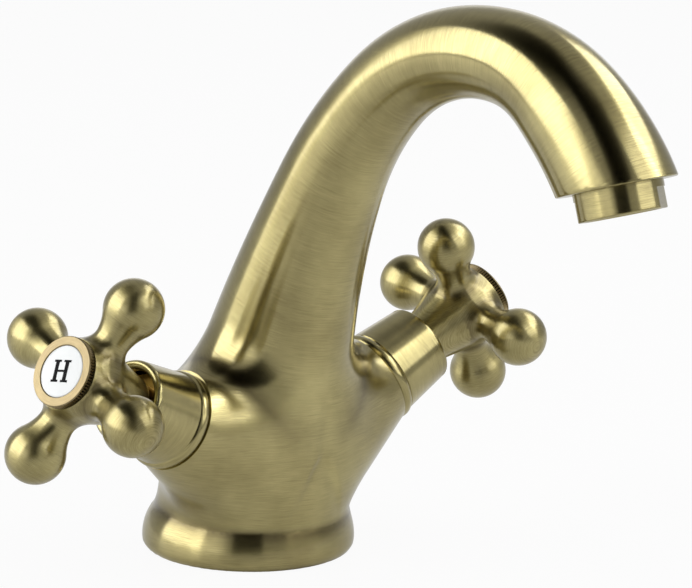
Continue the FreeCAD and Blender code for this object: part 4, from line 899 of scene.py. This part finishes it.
def letter_bars(letter):
    """The strokes of a letter as four-sided shapes on a plane whose Y runs up the letter."""
    half = LETTER_HEIGHT / 2
    bars = []
    if letter == "H":
        leg = 1.75
        for x in (-leg, leg):
            bars.append(bar(x - STROKE / 2, x + STROKE / 2, -half, half))
            for y in (-half, half - HAIR):
                bars.append(bar(x - SERIF / 2, x + SERIF / 2, y, y + HAIR))
        return bars + [bar(-leg, leg, -0.3, 0.3)]
    narrow, mouth = 0.92, 42
    angles = np.radians(np.linspace(mouth, 360 - mouth, 25))
    for a, b in zip(angles, angles[1:]):
        corners = []
        for t, outer in ((a, True), (b, True), (b, False), (a, False)):
            thick = HAIR + (STROKE * 1.15 - HAIR) * max(-math.cos(t), 0) ** 0.7
            reach = half if outer else half - thick
            corners.append((reach * narrow * math.cos(t), reach * math.sin(t)))
        bars.append(corners[::-1])
    for end in (-1, 1):
        x, y = narrow * half * math.cos(math.radians(mouth)), end * half * math.sin(math.radians(mouth))
        bars.append(bar(x - 0.45, x + 0.05, y - 0.75, y + 0.75))
    return bars


for side, letter in (("hot", "H"), ("cold", "C")):
    rows, hub = valve_frame(side, LETTER_TURN)
    button = turned_piece(side + "_button_disc", disc, rows, hub, 96)
    button.data.materials.append(porcelain)
    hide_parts(side + "_index_button")
    mark = bmesh.new()
    for stroke in letter_bars(letter):
        top = [(y, -x, dome_height(math.hypot(x, y))) for x, y in stroke]
        low = [mark.verts.new(placed(np.array([a, b, c - LETTER_ROOT]), rows, hub)) for a, b, c in top]
        high = [mark.verts.new(placed(np.array([a, b, c + LETTER_RISE]), rows, hub)) for a, b, c in top]
        mark.faces.new(high)
        mark.faces.new(low[::-1])
        for i in range(4):
            j = (i + 1) % 4
            mark.faces.new((low[i], low[j], high[j], high[i]))
    sign = finished(side + "_button_letter", mark)
    sign.data.materials.append(enamel)
    for piece in (button, sign):
        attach(piece, side + "_handle")

# ----------------------------
# Floor, light and camera. A plain pale table in a white studio: soft boxes to the left and right,
# and the dark room round the camera, which the polished curves show as their dark streaks.
# ----------------------------
VIEW_YAW, VIEW_RISE, VIEW_ROLL = math.radians(43.298), math.radians(12.312), math.radians(1.042)
VIEW_FROM, VIEW_FOCUS, VIEW_WIDTH, SENSOR = (-0.66217, -0.74288, 0.29252), 3509.06, 692, 36.0


def way_from(azimuth, rise):
    """A direction given by its turn from the camera's own, to the right, and its rise."""
    a, e = VIEW_YAW - math.radians(azimuth), math.radians(rise)
    return Vector((-math.sin(a) * math.cos(e), -math.cos(a) * math.cos(e), math.sin(e)))


right = Vector((math.cos(VIEW_YAW), -math.sin(VIEW_YAW), 0))
towards = way_from(0, math.degrees(VIEW_RISE))
upwards = towards.cross(right)
level = math.cos(VIEW_ROLL) * right + math.sin(VIEW_ROLL) * upwards
upwards = math.cos(VIEW_ROLL) * upwards - math.sin(VIEW_ROLL) * right
lens = bpy.data.cameras.new("camera")
lens.sensor_width = SENSOR
lens.lens = SENSOR * VIEW_FOCUS / VIEW_WIDTH
lens.clip_start, lens.clip_end = 0.05, 50.0
camera = in_scene("camera", lens)
turn = Matrix((level, upwards, towards)).transposed().to_4x4()
camera.matrix_world = Matrix.Translation(VIEW_FROM) @ turn
bpy.context.scene.camera = camera

# Seamless paper, satin and even. Looked at, it is nearly all a white glow, as the photo's burnt-out
# ground is. The metal sees a fifth of that glow.
FLOOR_RADIUS, SEEN_GLOW, MIRRORED_GLOW = 6000, 0.93, 0.2
floor_sheet = bmesh.new()
bmesh.ops.create_circle(floor_sheet, cap_ends=True, radius=FLOOR_RADIUS, segments=96)
floor = finished("floor", floor_sheet)
paper, tree, shader = new_finish("pale studio paper, satin coated")
fill(tree, shader, {"Base Color": plain("#D2D2D2"), "Roughness": 0.4})
seen = add_node(tree, "ShaderNodeLightPath", {})
mirrored = {0: seen["Is Glossy Ray"], 1: MIRRORED_GLOW}
mirrored = add_node(tree, "ShaderNodeMath", mirrored, operation="MULTIPLY")[0]
through = ("MAXIMUM", seen["Is Transmission Ray"])
share = seen["Is Camera Ray"]
for operation, other in (through, ("MULTIPLY", SEEN_GLOW), ("MAXIMUM", mirrored)):
    share = add_node(tree, "ShaderNodeMath", {0: share, 1: other}, operation=operation)[0]
glow = add_node(tree, "ShaderNodeEmission", {"Strength": 1.0})[0]
lit = add_node(tree, "ShaderNodeMixShader", {0: share, 1: shader.outputs[0], 2: glow})[0]
fill(tree, tree.nodes["Material Output"], {"Surface": lit})
floor.data.materials.append(paper)

world = bpy.data.worlds.new("studio")
bpy.context.scene.world = world
world.use_nodes = True
sky = world.node_tree
ray_way = add_node(sky, "ShaderNodeTexCoord", {})["Generated"]


def patch_of(azimuth, rise, start, full):
    """A soft-edged patch of the room about a direction, from 0 outside it to 1 in its middle."""
    near = {0: ray_way, 1: tuple(way_from(azimuth, rise))}
    near = add_node(sky, "ShaderNodeVectorMath", near, operation="DOT_PRODUCT")["Value"]
    near = {"Value": near, "From Min": start, "From Max": full}
    return add_node(sky, "ShaderNodeMapRange", near, interpolation_type="SMOOTHSTEP")[0]


# The room is grey, black in the doorway behind the camera and under the rafters, and white behind
# the tap, where the metal shows the backdrop too. The dark is worked out first, then turned to light.
ROOM, BACKDROP, WALL_SHEEN = 0.43, 0.95, 1.1
wall = {0: patch_of(-44, 6, 0.9, 0.99), 1: WALL_SHEEN, 2: ROOM}
wall = add_node(sky, "ShaderNodeMath", wall, operation="MULTIPLY_ADD")[0]
backdrop = {0: patch_of(180, 0, 0.86, 0.97), 1: BACKDROP}
backdrop = add_node(sky, "ShaderNodeMath", backdrop, operation="MULTIPLY")[0]
light = patch_of(0, 0, -0.05, 0.3)
for operation, *others in (
    ("MULTIPLY", patch_of(90, 0, -0.32, -0.24)),
    ("MULTIPLY", patch_of(-90, 0, -0.32, -0.24)),
    ("MAXIMUM", patch_of(-90, 66, 0.84, 0.95)),
    ("MULTIPLY_ADD", -1.0, 1.0),
    ("MULTIPLY", wall),
    ("MAXIMUM", backdrop),
    ("MAXIMUM", add_node(sky, "ShaderNodeLightPath", {})["Is Camera Ray"]),
):
    light = add_node(sky, "ShaderNodeMath", dict(enumerate([light, *others])), operation=operation)[0]
fill(sky, sky.nodes["Background"], {"Color": (1.0, 1.0, 1.0, 1.0), "Strength": light})


def soft_box(name, azimuth, rise, distance, width, height, strength):
    """A soft box that faces the tap, placed by its direction from the camera's own."""
    lamp = bpy.data.lights.new(name, "AREA")
    lamp.shape = "RECTANGLE"
    lamp.size, lamp.size_y = width, height
    lamp.energy = strength * width * height * math.pi
    box = in_scene(name, lamp)
    away = way_from(azimuth, rise)
    stand = Matrix.Translation(Vector((0, -0.04, 0.08)) + away * distance)
    box.matrix_world = stand @ away.to_track_quat("Z", "Y").to_matrix().to_4x4()
    box.visible_camera = False


soft_box("left_box", -80, 24, 1.3, 1.4, 1.15, 3.0)
soft_box("right_box", 113, 44, 1.3, 1.3, 0.6, 3.2)
soft_box("side_box", 66, 33, 1.5, 1.2, 1.2, 1.75)

bpy.context.scene.view_settings.view_transform = "Standard"
